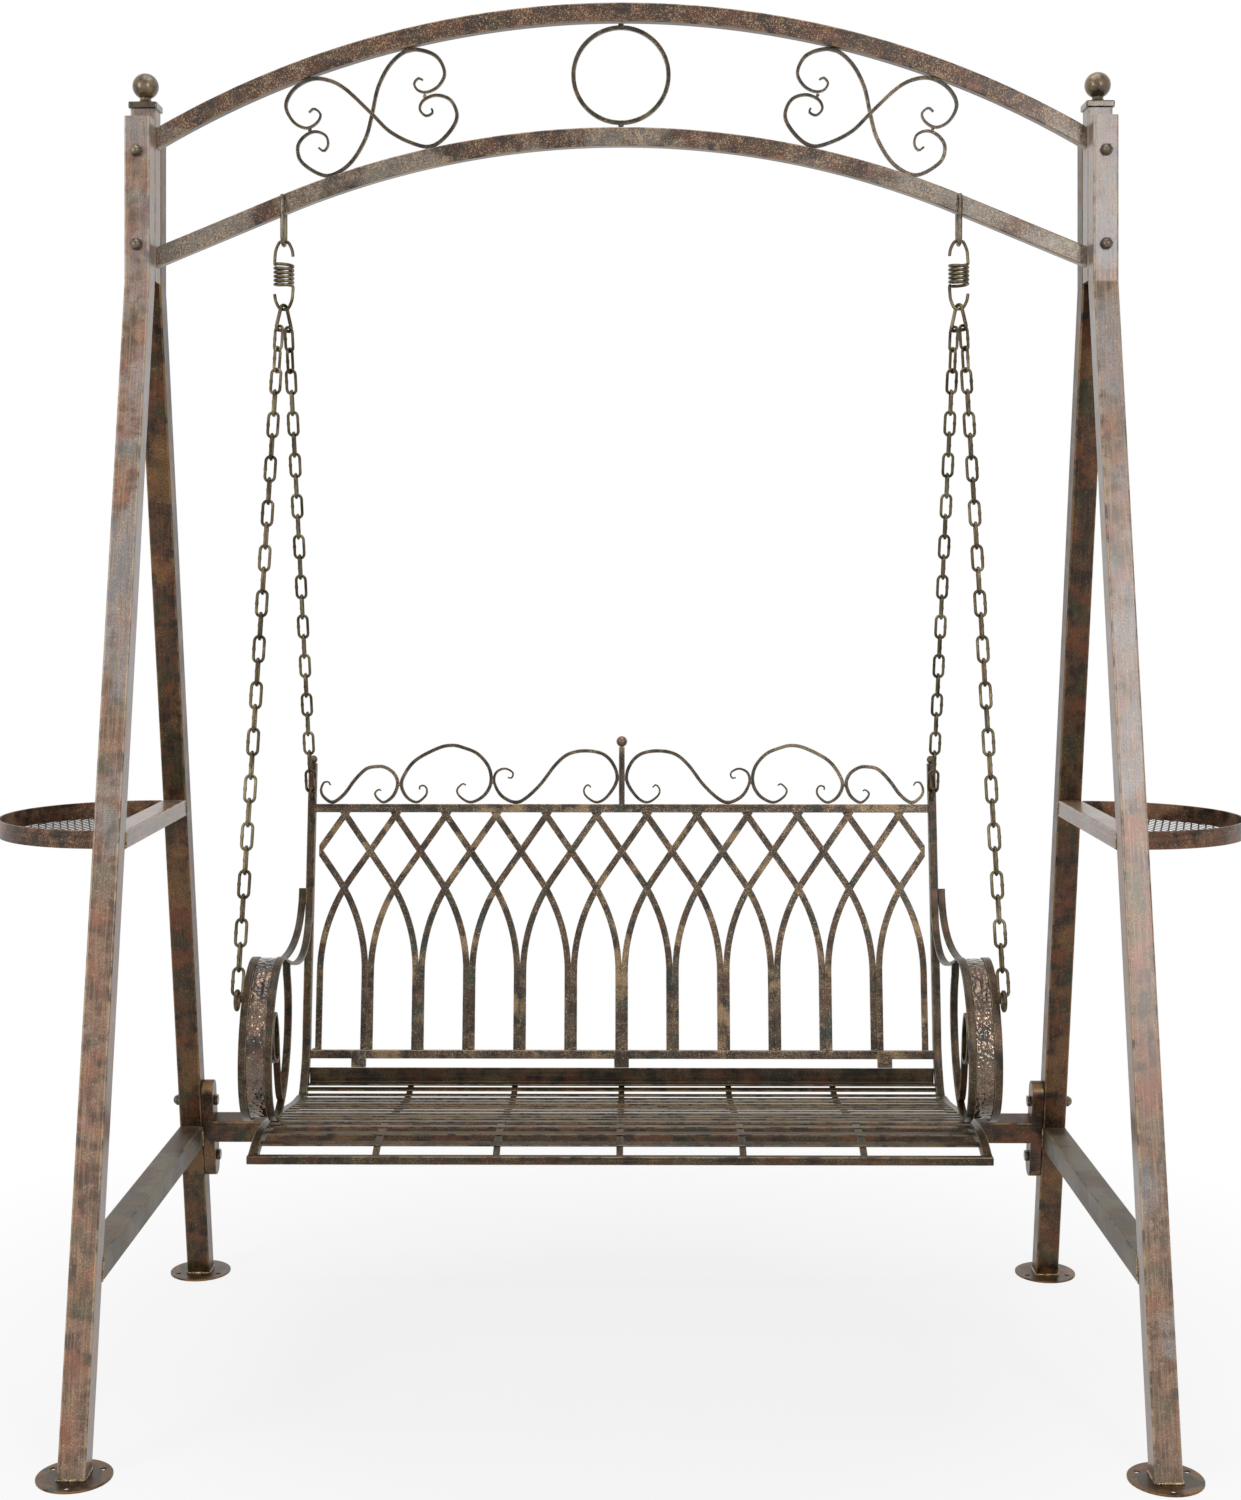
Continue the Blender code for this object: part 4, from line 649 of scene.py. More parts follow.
# A rectangular tube along Y between the legs, its ends sawn to their slope
def betweenLegs(x, height, high, seed):
    reach = legY(height) - legHalfDepth - gap
    cuts = ((0, math.cos(legAngle), -math.sin(legAngle)), (0, math.cos(legAngle), math.sin(legAngle)))
    section = barSection(legs["tube"], high, crossbar["corner"], 4)
    path = evenly(np.array([(x, -reach, height), (x, reach, height)]), 8)
    return carry(path, section, cuts=cuts, wall=legs["wall"], seed=seed)


# Upright beads at the four corners where such a tube meets the legs
def sawnWelds(x, height, high, seed):
    levels = (height - high / 2 + crossbar["weldEnd"], height + high / 2 - crossbar["weldEnd"])
    beads = []
    for row in (-1, 1):
        for a in (-1, 1):
            reaches = [legY(z) - legHalfDepth - crossbar["weldSunk"] for z in levels]
            ends = [(x + a * legs["tube"] / 2, row * reach, z) for reach, z in zip(reaches, levels)]
            beads.append(weldBead(ends, crossbar["weld"], seed=seed + row + a))
    return beads


for side, where in sides:
    x = side * legs["halfSpan"]
    middle = trayBar["low"] + trayBar["high"] / 2
    stretcher = betweenLegs(x, crossbar["stretcher"], legs["tube"], side)
    makePiece(where + "Stretcher", [stretcher], "oliveTubeSteel", "frame")
    bar = betweenLegs(x, middle, trayBar["high"], side * 2)
    makePiece(where + "TrayBar", [bar], "brushedTaupeSteel", "frame")
    beads = sawnWelds(x, crossbar["stretcher"], legs["tube"], 1.3) + sawnWelds(x, middle, trayBar["high"], 2.1)
    makePiece(where + "SideWelds", beads, "giltWeld", "frame")

down = np.array((0, math.sin(legAngle), -math.cos(legAngle)))
barCentre = np.array((0, legY(crossbar["height"]), crossbar["height"]))
bracketFace = legFace - legs["tube"] - gap
half = bracketFace - crossbar["thick"] + crossbar["inBracket"]
path = evenly(np.array([barCentre - (half, 0, 0), barCentre + (half, 0, 0)]), 12)
shapes = [carry(path, tubeSection, down, wall=legs["wall"], seed=9)]
for side, where in sides:
    ends = [barCentre + (side * reach, 0, 0) for reach in (bracketFace - crossbar["thick"], bracketFace)]
    section = barSection(crossbar["long"], crossbar["wide"], crossbar["wide"] / 2 - crossbar["flat"], 12)
    shapes.append(softBar(ends, section, crossbar["soft"], across=down, seed=side * 4))
makePiece("rearCrossbar", shapes, "rustBrownSteel", "frame")

bolts = {
    "radius": 0.005, "across": 0.017, "nutHigh": 0.007, "dome": 0.0080, "domeHigh": 0.0065, "headHigh": 0.006,
    "edge": 0.0006, "soft": 0.0012, "poleOpen": 0.1, "legHeights": (1.790, 1.938), "washerHigh": 0.0012,
    "shankIn": 0.001, "domeIn": 0.0005, "shankLess": 0.0001,
    "washer": (
        (0.0052, 0.0), (0.0092, 0.0), (0.0096, 0.0003), (0.0096, 0.0009), (0.0092, 0.0012), (0.0052, 0.0012),
    ),
}


# A hexagon nut with a dome at the start, a shank through the stack, and a hexagon head beyond
def boltShapes(start, axis, length):
    axis = np.asarray(axis, float)
    start = np.asarray(start, float)
    corners = arc((0, 0), bolts["across"] / 2 / math.cos(math.pi / 6), 0, math.tau, 7)[:-1]
    hexagon = outline(corners, bolts["edge"], 2)
    across = furthestAxis(axis)
    dome = arc((0, 0), 1, 0, math.pi / 2 - bolts["poleOpen"], 12) * (bolts["dome"], bolts["domeHigh"])
    low, high = start - axis * (gap + bolts["nutHigh"]), start + axis * (length + gap)
    shank = rodSection(bolts["radius"] - bolts["shankLess"], 16)
    return [
        softBar([low, start - axis * gap], hexagon, bolts["soft"], across=across),
        softBar([high, high + axis * bolts["headHigh"]], hexagon, bolts["soft"], across=across),
        carry([start - axis * bolts["shankIn"], high + axis * bolts["shankIn"]], shank, across),
        lathe(dome, low + axis * bolts["domeIn"], -axis, 24),
        lathe(bolts["washer"], start - axis * bolts["washerHigh"], axis, 24),
    ]


for side, where in sides:
    front = -legAxisY - legs["tube"] / 2
    for label, height in zip(("Lower", "Upper"), bolts["legHeights"]):
        made = boltShapes((side * legs["halfSpan"], front, height), (0, 1, 0), -2 * front)
        makePiece(where + label + "LegBolt", made, "darkBronzeIron", "frame")
    for label, level in (("Lower", -1), ("Upper", 1)):
        height = crossbar["height"] + level * crossbar["boltOffset"] * math.cos(legAngle)
        stack = legs["tube"] + gap + crossbar["thick"]
        made = boltShapes((side * legFace, legY(height), height), (-side, 0, 0), stack)
        makePiece(where + label + "CrossbarBolt", made, "darkBronzeIron", "frame")


# A third of a round plate, around its bolt hole: rays from the hole's middle run to whichever
# comes first, the rim or the two lines at 60 degrees through the plate's middle. Only the rim is
# softened, so the thirds' points lie on each other where they meet
def plateThird(turn):
    rim, middle, soft = feet["radius"], feet["circle"], feet["soft"]
    corner = math.atan2(rim * math.sin(math.pi / 3), rim / 2 - middle)
    angles = np.concatenate([np.linspace(0, corner, 13), np.linspace(corner, math.pi, 13)[1:]])
    angles = np.concatenate([angles, -angles[-2:0:-1]])
    root = math.sqrt(3)
    toRim = -middle * np.cos(angles) + np.sqrt(rim**2 - (middle * np.sin(angles)) ** 2)
    ahead = np.abs(np.sin(angles)) - root * np.cos(angles)
    toLine = np.where(ahead > 1e-9, root * middle / np.maximum(ahead, 1e-9), np.inf)
    reach = np.minimum(toRim, toLine)
    rays = np.stack([np.cos(angles), np.sin(angles)], 1)
    spin = np.array([[math.cos(turn), math.sin(turn)], [-math.sin(turn), math.cos(turn)]])
    inner, outer = ((np.array([middle, 0]) + rays * r) @ spin for r in (feet["hole"], reach[:, None]))
    count = len(angles)
    onRim = toRim <= toLine + 1e-9
    pulled = outer - onRim[:, None] * unit(outer + 1e-12) * soft
    levels = [
        (inner, 0), (outer, 0), (outer, feet["thick"] - soft), (pulled, feet["thick"]), (inner, feet["thick"])
    ]
    points = np.concatenate([np.column_stack([flat, np.full(count, z)]) for flat, z in levels])
    j = np.arange(count)
    k = (j + 1) % count
    both = onRim[j] & onRim[k]
    faces = []
    for low, high, mask in ((1, 0, j >= 0), (2, 1, both), (3, 2, both), (4, 3, j >= 0), (0, 4, j >= 0)):
        quads = np.stack([high * count + j, high * count + k, low * count + k, low * count + j], 1)[mask]
        faces.append((quads, np.zeros((len(quads), 4, 3))))
    place = np.column_stack([points[:, :2], points[:, 2] + turn])
    wear = np.repeat([0.0, 1.0, 1.0, 0.6, 0.5], count) * np.tile(onRim, 5)
    return {"points": points, "wear": wear, "place": place, "faces": faces}


for side, where in sides:
    for row, rowName in ((-1, "Front"), (1, "Back")):
        plate = welded(together([plateThird(row * math.pi / 2 + hole * math.tau / 3) for hole in range(3)]))
        corners = plate["points"]
        for number, (quads, _) in enumerate(plate["faces"]):
            a, b, c = (corners[quads[:, m]] for m in range(3))
            normal = np.cross(b - a, c - a)
            normal = normal / np.maximum(np.linalg.norm(normal, axis=1, keepdims=True), 1e-15)
            plate["faces"][number] = (quads, np.repeat(normal[:, None], 4, 1))
        plate["points"] += (side * legs["halfSpan"], row * legs["spread"], 0)
        makePiece(where + rowName + "FootPlate", [plate], "rustBrownSteel", "frame")
print("stand made")

# Trays: a flat rim on half an ellipse, and an expanded metal floor

tray = {
    "reach": 0.209, "end": 0.2025, "rim": 0.003, "rimEdge": 0.0009, "floor": 0.8547,
    "diamondLong": 0.042, "diamondWide": 0.0120, "strand": 0.0026, "sheet": 0.0011, "strandEdge": 0.00035,
    "lean": math.radians(20), "flatten": 1.35, "swing": 0.92, "shortest": 0.004,
    "strip": (0.003, 0.0014, 0.0004), "stripIn": 0.0016, "stripShort": 0.006, "stripSoft": 0.0004,
}
trayFace = legFace + gap


# Strands run along Y and swing from side to side in straight lines with flat tops, each
# against its neighbour, so that every two meet once a diamond
def trayStrands(side):
    shapes = []
    half = tray["diamondWide"] / 2
    section = barSection(tray["strand"], tray["sheet"], tray["strandEdge"], 1)
    cos, sin = math.cos(tray["lean"]), math.sin(tray["lean"])
    turn = np.array([[cos, sin], [-sin, cos]])
    section = {**section, "points": section["points"] @ turn, "out": section["out"] @ turn}
    inner = (tray["reach"] - tray["rim"] - gap, tray["end"] - tray["rim"] - gap)
    for number in range(int(inner[0] / half)):
        x = (number + 0.5) * half
        limit = inner[1] * math.sqrt(max(1 - (x / inner[0]) ** 2, 0)) - 0.001
        if limit < tray["shortest"]:
            continue
        y = np.linspace(-limit, limit, max(int(limit / tray["strand"]), 5))
        wave = tray["flatten"] * (2 / math.pi) * np.arcsin(np.sin(y * math.tau / tray["diamondLong"]))
        sway = x + (1 if number % 2 else -1) * np.clip(wave, -1, 1) * half / 2 * tray["swing"]
        sway = np.minimum(sway, inner[0] * np.sqrt(np.clip(1 - (y / inner[1]) ** 2, 0, 1)))
        path = inSpace(side * (trayFace + sway), y, tray["floor"])
        shapes.append(carry(path, section, seed=number * 0.3))
    return shapes


for side, where in sides:
    middle = tray["rim"] / 2
    turn = np.linspace(-math.pi / 2, math.pi / 2, 97)
    x = side * (trayFace + np.maximum((tray["reach"] - middle) * np.cos(turn), 0))
    path = inSpace(x, (tray["end"] - middle) * np.sin(turn), trayBar["low"] + trayBar["high"] / 2)
    section = barSection(trayBar["high"], tray["rim"], tray["rimEdge"])
    rim = carry(path, section, across=(0, 0, 1), cuts=((1, 0, 0), (1, 0, 0)), seed=side)
    makePiece(where + "TrayRim", [rim], "satinBrownSteel", "frame")
    reach = tray["end"] - tray["stripShort"]
    edge = [(side * (trayFace + tray["stripIn"]), y, tray["floor"]) for y in (-reach, reach)]
    strip = softBar(edge, barSection(*tray["strip"], 1), tray["stripSoft"], 1)
    makePiece(where + "TrayMesh", trayStrands(side) + [strip], "expandedSteel", "frame")
print("trays made")

# Arches, ring and scrolls

arches = {
    "high": 0.030, "deep": 0.020, "wall": 0.002, "corner": 0.0024, "upperCrown": 2.186, "upperRadius": 1.492,
    "lowerCrown": 1.986, "lowerRadius": 1.428, "lowerCurved": 0.5487,
}
archHalf = legFace - legs["tube"] - gap


# Height of the curve this far below the upper arch's top face: a circle about its own centre
def upperLine(depth, x):
    centre, radius = arches["upperCrown"] - arches["upperRadius"], arches["upperRadius"] - depth
    return centre + np.sqrt(radius**2 - np.square(x))


# The same for the lower arch: a circle, and beyond its curved middle the line straight on from it
def lowerLine(depth, x):
    centre, radius = arches["lowerCrown"] - arches["lowerRadius"], arches["lowerRadius"] - depth
    turn = arches["lowerCurved"] / arches["lowerRadius"]
    level, x = math.sqrt(1 - turn * turn), np.abs(x)
    curved = centre + np.sqrt(np.maximum(radius**2 - np.square(x), 0))
    return np.where(x < radius * turn, curved, centre + radius * level - (x - radius * turn) * turn / level)


archSection = barSection(arches["deep"], arches["high"], arches["corner"], 4)
for name, line in (("upperArch", upperLine), ("lowerArch", lowerLine)):
    x = np.linspace(-archHalf, archHalf, 121)
    path = inSpace(x, 0, line(arches["high"] / 2, x))
    sawn, wall = ((1, 0, 0), (1, 0, 0)), arches["wall"]
    shape = carry(path, archSection, (0, 1, 0), cuts=sawn, wall=wall, seed=len(name))
    makePiece(name, [shape], "spongedArchSteel", "frame")

ring = {"radius": 0.0765, "bar": 0.007, "corner": 0.0012, "weldHalf": 0.0045, "weldOut": 0.004, "weld": 0.0028}
top, bottom = upperLine(arches["high"], 0) - gap, lowerLine(0, 0) + gap
middle = (top + bottom) / 2
hoop = circle(ring["radius"], 120, (0, middle))
hoop = inSpace(hoop[:, 0], 0, hoop[:, 1])
shapes = [carry(hoop, barSection(ring["bar"], ring["bar"], ring["corner"]), (0, 1, 0), closed=True)]
for z in (middle + ring["radius"] + ring["weldOut"], middle - ring["radius"] - ring["weldOut"]):
    shapes.append(beadAlongX((0, 0, z), ring["weldHalf"], ring["weld"], z))
makePiece("archRing", shapes, "darkBronzeIron", "frame")

# Scrolls of one square bar: points as shares of the way from the centre to the post and of the
# height between the arches, and the welds where the two bars' curls come close
scrolls = {
    "bar": 0.006, "tip": 0.55, "stations": 150, "corner": 0.0009, "soft": 0.0008,
    "touch": {"half": 0.004, "lift": 0.0032, "radius": 0.0016},
    "welds": ((0.672, 0.514), (0.424, 0.512)), "weldHalf": 0.0012, "weldRise": 0.018, "weld": 0.0026,
    "outer": (
        (0.673, 0.680), (0.662, 0.700), (0.648, 0.620), (0.657, 0.550), (0.680, 0.541), (0.707, 0.651),
        (0.723, 0.833), (0.707, 0.960), (0.673, 1.000), (0.638, 0.947), (0.597, 0.800), (0.538, 0.469),
        (0.500, 0.250), (0.456, 0.090), (0.414, 0.000), (0.380, 0.058), (0.354, 0.223), (0.366, 0.405),
        (0.397, 0.489), (0.425, 0.470), (0.434, 0.390), (0.421, 0.310), (0.406, 0.325), (0.409, 0.370),
    ),
    "inner": (
        (0.428, 0.676), (0.438, 0.705), (0.447, 0.660), (0.438, 0.585), (0.418, 0.550), (0.394, 0.587),
        (0.381, 0.702), (0.397, 0.872), (0.432, 0.976), (0.466, 1.000), (0.500, 0.905), (0.525, 0.716),
        (0.538, 0.469), (0.552, 0.254), (0.583, 0.064), (0.621, 0.000), (0.652, 0.054), (0.690, 0.234),
        (0.699, 0.388), (0.687, 0.470), (0.663, 0.486), (0.639, 0.412), (0.633, 0.312), (0.642, 0.262),
        (0.654, 0.315),
    ),
}


# A bar of full thickness in the middle, drawn out thin over the last fifth at each tip
def scrollBar(path, wide, thick, tip, across, seed):
    ends = softEnds(evenly(path, scrolls["stations"]), scrolls["soft"], 3)
    path = ends.pop("path")
    share = walked(path) / walked(path)[-1]
    drawn = tip + (1 - tip) * np.clip(np.minimum(share, 1 - share) * 5, 0, 1)
    return carry(path, barSection(wide, thick, scrolls["corner"]), across, squeeze=drawn, seed=seed, **ends)


for side, where in sides:
    for label, layer in (("outer", -1), ("inner", 1)):
        curve = smooth(scrolls[label], 10)
        x = curve[:, 0] * archHalf
        margin = scrolls["bar"] / 2 + 2 * gap
        low, high = lowerLine(0, x) + margin, upperLine(arches["high"], x) - margin
        z = low + np.clip(curve[:, 1], 0, 1) * (high - low)
        path = inSpace(side * x, layer * (scrolls["bar"] + gap) / 2, z)
        shapes = [scrollBar(path, scrolls["bar"], scrolls["bar"], scrolls["tip"], (0, 1, 0), side * layer)]
        # where the bar touches the upper arch and the lower one
        touch = scrolls["touch"]
        for spot, lift in ((np.argmax(curve[:, 1]), touch["lift"]), (np.argmin(curve[:, 1]), -touch["lift"])):
            shapes.append(beadAlongX(path[spot] + (0, 0, lift), touch["half"], touch["radius"], side + layer))
        makePiece(where + label.capitalize() + "ArchScroll", shapes, "darkBronzeIron", "frame")
    beads = []
    for share, up in scrolls["welds"]:
        x, half, rise = share * archHalf, scrolls["weldHalf"], scrolls["weldRise"]
        low, high = float(lowerLine(0, x)), float(upperLine(arches["high"], x))
        ends = [(side * x + way * half, 0, low + (high - low) * (up + way * rise)) for way in (-1, 1)]
        beads.append(weldBead(ends, scrolls["weld"], seed=x))
    makePiece(where + "ScrollWelds", beads, "giltWeld", "frame")
print("arches made")

# Hangers: U hooks, springs, carrier links and chains

hangers = {
    "halfSpan": 0.543, "hookRod": 0.007, "hookBottom": 1.7980, "hookSoft": 0.0022, "inArch": 0.0005,
    "weld": 0.0014, "weldOut": 0.0010, "weldApart": 0.0035, "weldEnds": (0.027, 0.004),
    "wire": 0.0052, "wireSoft": 0.0008, "outer": 0.0342, "pitch": 0.0065, "curls": 5.5, "drop": 0.110,
    # the upper hook from its tip: shares of the curls' radius, and of the height from the curls to its top
    "hook": (
        (1.03, -0.67), (0.90, -0.37), (0.57, -0.10), (0.29, -0.02), (0, 0), (-0.29, -0.02), (-0.57, -0.10),
        (-0.90, -0.42), (-0.99, -0.74),
    ),
}
carrier = {
    "rod": 0.006, "long": 0.047, "topWide": 0.023, "bottomWide": 0.041, "turn": math.radians(32),
    "stand": 0.0110, "play": 0.0012,
}
hookBend = arches["deep"] / 2 + gap + hangers["hookRod"] / 2
springTop = hangers["hookBottom"] + hangers["hookRod"] / 2 + gap + hangers["wire"] / 2


# Down the upper hook, round the curls of a helix and out to the lower hook, which is the upper
# one turned half way round
def springLine():
    curlRadius = (hangers["outer"] - hangers["wire"]) / 2
    long = hangers["curls"] * hangers["pitch"]
    start = -(hangers["drop"] - long) / 2
    upper = np.array([(a * curlRadius, 0, -b * start) for a, b in hangers["hook"]])
    share = np.linspace(0, 1, round(8 * hangers["curls"]) + 1)
    turn = math.pi + share * hangers["curls"] * math.tau
    curls = inSpace(curlRadius * np.cos(turn), curlRadius * np.sin(turn), start - share * long)
    lower = upper[::-1] * (-1, -1, -1) - (0, 0, hangers["drop"])
    return smooth(np.concatenate([upper, curls, lower]), 4)


# The direction across, carried from station to station without twisting
def untwisted(path):
    tangent = directions(path)
    across = [furthestAxis(tangent[0])]
    for here in tangent:
        across.append(unit(across[-1] - here * np.dot(across[-1], here)))
    return np.array(across[1:])


for side, where in sides:
    x = side * hangers["halfSpan"]
    top = float(lowerLine(0, x))
    bend = arc((0, hangers["hookBottom"] + hookBend), hookBend, math.pi, math.tau, 25)
    path = inYz([(-hookBend, top - hangers["inArch"]), *bend, (hookBend, top - hangers["inArch"])], x)
    shapes = [softBar(path, rodSection(hangers["hookRod"] / 2, 16), hangers["hookSoft"])]
    for row in (-1, 1):
        for a in (-1, 1):
            flank = (x + a * hangers["weldApart"], row * (arches["deep"] / 2 + hangers["weldOut"]))
            ends = [(*flank, top - lower) for lower in hangers["weldEnds"]]
            shapes.append(weldBead(ends, hangers["weld"], seed=x + row + a))
    makePiece(where + "HangerHook", shapes, "darkBronzeIron", "frame")
    path = springLine() * (-side, -side, 1)
    across = untwisted(softEnds(path, hangers["wireSoft"], 2)["path"])
    shape = softBar(path, rodSection(hangers["wire"] / 2, 12), hangers["wireSoft"], 2, across=across)
    shape["points"] += (x, 0, springTop)
    spring = makePiece(where + "Spring", [shape], "bronzedChainWire", None)
    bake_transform(spring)

carrierTop = springTop - hangers["drop"] + (hangers["wire"] + carrier["rod"]) / 2 + carrier["play"]
carrierLow = carrierTop - (carrier["long"] - carrier["rod"])
chains = {
    "wire": 0.0049, "wide": 0.0205, "pitch": 0.0365, "twisted": 3, "sideSteps": 7, "buttWeld": 0.0006,
    "grainStep": 0.37,
}
chainTop = carrierLow + (carrier["rod"] + chains["wire"]) / 2 + carrier["play"]

# A pear: a half circle on top, and two corners below it
narrow, wide = (carrier["topWide"] - carrier["rod"]) / 2, (carrier["bottomWide"] - carrier["rod"]) / 2
corner = wide / 3
pear = np.concatenate([
    arc((0, carrierTop - narrow), narrow, 0, math.pi, 17),
    arc((-wide + corner, carrierLow + corner), corner, math.pi, math.pi * 3 / 2, 9),
    arc((wide - corner, carrierLow + corner), corner, -math.pi / 2, 0, 9),
])
for side, where in sides:
    along = (side * math.sin(carrier["turn"]), -math.cos(carrier["turn"]))
    x = side * hangers["halfSpan"] + pear[:, 0] * along[0]
    path = inSpace(x, pear[:, 0] * along[1], pear[:, 1])
    link = carry(path, rodSection(carrier["rod"] / 2, 14), np.cross((*along, 0), (0, 0, 1)), closed=True)
    makePiece(where + "CarrierLink", [link], "bronzedChainWire", "bench")

seat = {
    "front": -0.314, "depth": 0.494, "crown": 0.4415, "dip": 0.0423, "bar": 0.014, "halfSpan": 0.535,
    "line": (
        (0.000, -0.409), (0.040, -0.213), (0.100, -0.054), (0.170, 0.000), (0.260, -0.057), (0.388, -0.281),
        (0.580, -0.591), (0.772, -0.934), (0.870, -1.000), (0.930, -0.953),
    ),
    "ribEnd": (0.970, -0.816),
}
back = {"recline": math.radians(8.6), "footY": 0.178, "footHeight": 0.453}
arm = {
    "wide": 0.012, "thick": 0.005, "corner": 0.0012, "soft": 0.0010, "innerEdge": 0.518, "outerEdge": 0.569,
    "high": 0.239, "deep": 0.184, "lean": math.radians(20), "centreY": -0.161, "join": 0.728,
    "tailBend": 0.126, "tailSag": 0.150, "firstTurn": -0.12, "lastTurn": math.tau - 0.55, "close": 0.945,
}
eyes = {
    "lugRadius": 0.0135, "lugRod": 0.006, "lugStand": 0.0012, "lugY": -0.2328, "lugHeight": 0.6310,
    "eyeRadius": 0.009, "eyeRod": 0.005, "eyeHeight": 0.8897,
}


# World (y, z) this far up the leaning back and this far in front of it
def backPoint(rise, forward=0.0):
    lean = back["recline"]
    y = back["footY"] + rise * math.sin(lean) - forward * math.cos(lean)
    return y, back["footHeight"] + rise * math.cos(lean) + forward * math.sin(lean)


lugX = arm["outerEdge"] + eyes["lugStand"] + eyes["lugRod"] / 2
eyeRise = (eyes["eyeHeight"] - back["footHeight"]) / math.cos(back["recline"])
eyeY = backPoint(eyeRise, seat["bar"] / 2)[0] - eyes["eyeRadius"]


# One link, a loop of two straight sides and two half circles with a butt weld on one side, set
# down once for each place in the chain and turned a quarter more each time
def chainShape(top, bottom, side):
    top, bottom = np.array(top, float), np.array(bottom, float)
    total = np.linalg.norm(bottom - top)
    count = round((total / chains["pitch"] - 1) / 2) * 2 + 1
    long = (total + (count - 1) * chains["wire"]) / count
    bend, steps = (chains["wide"] - chains["wire"]) / 2, chains["sideSteps"]
    straight = np.stack([np.full(steps, bend), np.linspace(bend, long - bend, steps)], 1)[1:-1]
    low, high = arc((0, bend), bend, math.pi, math.tau, 9), arc((0, long - bend), bend, 0, math.pi, 9)
    flat = np.concatenate([low, straight, high])
    bump = np.zeros(len(flat))
    bump[len(low) + len(straight) // 2] = chains["buttWeld"]
    loop = inSpace(flat[:, 0], flat[:, 1], 0)
    link = carry(loop, rodSection(chains["wire"] / 2, 10), (0, 0, 1), closed=True, swell=bump)
    ahead = unit(bottom - top)
    across = unit(np.array((1, 0, 0)) - ahead * ahead[0])
    other = np.cross(ahead, across)
    number = np.arange(count)
    turn = -carrier["turn"] * np.maximum(0, 1 - number / chains["twisted"]) + (number % 2) * math.pi / 2
    width = across * np.cos(turn)[:, None] + other * np.sin(turn)[:, None]
    axes = np.stack([width, np.broadcast_to(ahead, width.shape), np.cross(width, ahead)], 1)
    origins = top + ahead * (number * (long - chains["wire"]))[:, None]
    points = np.einsum("mk,ckj->cmj", link["points"], axes) + origins[:, None]
    points = points.reshape(-1, 3)
    quads, normals = link["faces"][0]
    facing = np.einsum("fvk,ckj->cfvj", normals, axes).reshape(-1, 4, 3)
    faces = (quads[None] + number[:, None, None] * len(link["points"])).reshape(-1, 4)
    if side < 0:
        points, facing, faces = points * (-1, 1, 1), (facing * (-1, 1, 1))[:, ::-1], faces[:, ::-1]
    place = np.tile(link["place"], (count, 1))
    place += np.repeat(number, len(link["points"]))[:, None] * (0, 0, chains["grainStep"])
    return {"points": points, "wear": np.tile(link["wear"], count), "place": place, "faces": [(faces, facing)]}


shift, forward = carrier["stand"] * math.sin(carrier["turn"]), carrier["stand"] * math.cos(carrier["turn"])
# each chain: the side its first link stands on, and the place and kind of its lower eye
ends = (("Front", 1, lugX, eyes["lugY"], "lug"), ("Back", -1, seat["halfSpan"], eyeY, "eye"))
for side, where in sides:
    for name, way, x, y, eye in ends:
        under = (eyes[eye + "Rod"] + chains["wire"]) / 2 + carrier["play"]
        start = (hangers["halfSpan"] + way * shift, -way * forward, chainTop)
        end = (x, y, eyes[eye + "Height"] + eyes[eye + "Radius"] - under)
        makePiece(where + name + "Chain", [chainShape(start, end, side)], "bronzedChainWire", "bench")
print("hangers and chains made")

# Seat

slats = {
    "count": 12, "wide": 0.012, "thick": 0.0024, "edge": 0.0009, "soft": 0.0004,
    "first": 0.054, "last": 0.804, "rear": (0.856, 0.908, 0.965), "near": 0.01,
    "frontBar": 0.012, "frontEdge": 0.0016, "frontSoft": 0.0012,
    "ribs": (-0.356, -0.180, 0.0, 0.180, 0.356), "ribWide": 0.010, "ribThick": 0.005, "ribSunk": 0.0008,
    "overlap": 0.0006,
    "angleLeg": 0.0270, "angleFoot": 0.018, "angleThick": 0.003, "angleBack": 0.172,
    "angleRounding": (0.0009, 0.0022, 0.0009, 0.0009, 0.0014, 0.0009),
}


# The line of the seat's top through points given as shares of its depth and of its dip
def seatCurve(shares, steps):
    return smooth(np.array(shares) * (seat["depth"], seat["dip"]) + (seat["front"], seat["crown"]), steps)


seatTop = seatCurve(seat["line"], 12)
ribTop = seatCurve((*seat["line"], seat["ribEnd"]), 12)


# A line moved down by a depth square to itself
def below(line, depth):
    heading = directions(line)
    return line - depth * np.stack([-heading[:, 1], heading[:, 0]], 1)


# A straight path along X between plus and minus a reach
def acrossX(reach, centre, count=9):
    return evenly(np.array([(-reach, *centre), (reach, *centre)]), count)


seatHalf = seat["halfSpan"] - seat["bar"] / 2 - gap
slatSection = barSection(slats["wide"], slats["thick"], slats["edge"])
shapes = []
for number, share in enumerate((*np.linspace(slats["first"], slats["last"], slats["count"]), *slats["rear"])):
    before, place, after = evenly(ribTop, 3, share - slats["near"], share + slats["near"])
    heading = unit(after - before)
    path = acrossX(seatHalf, place - slats["thick"] / 2 * np.array((-heading[1], heading[0])))
    shapes.append(softBar(path, slatSection, slats["soft"], 2, across=(0, *heading), seed=number * 1.7))
makePiece("seatSlats", shapes, "wornOliveSteel", "bench", stands="seat_panel")

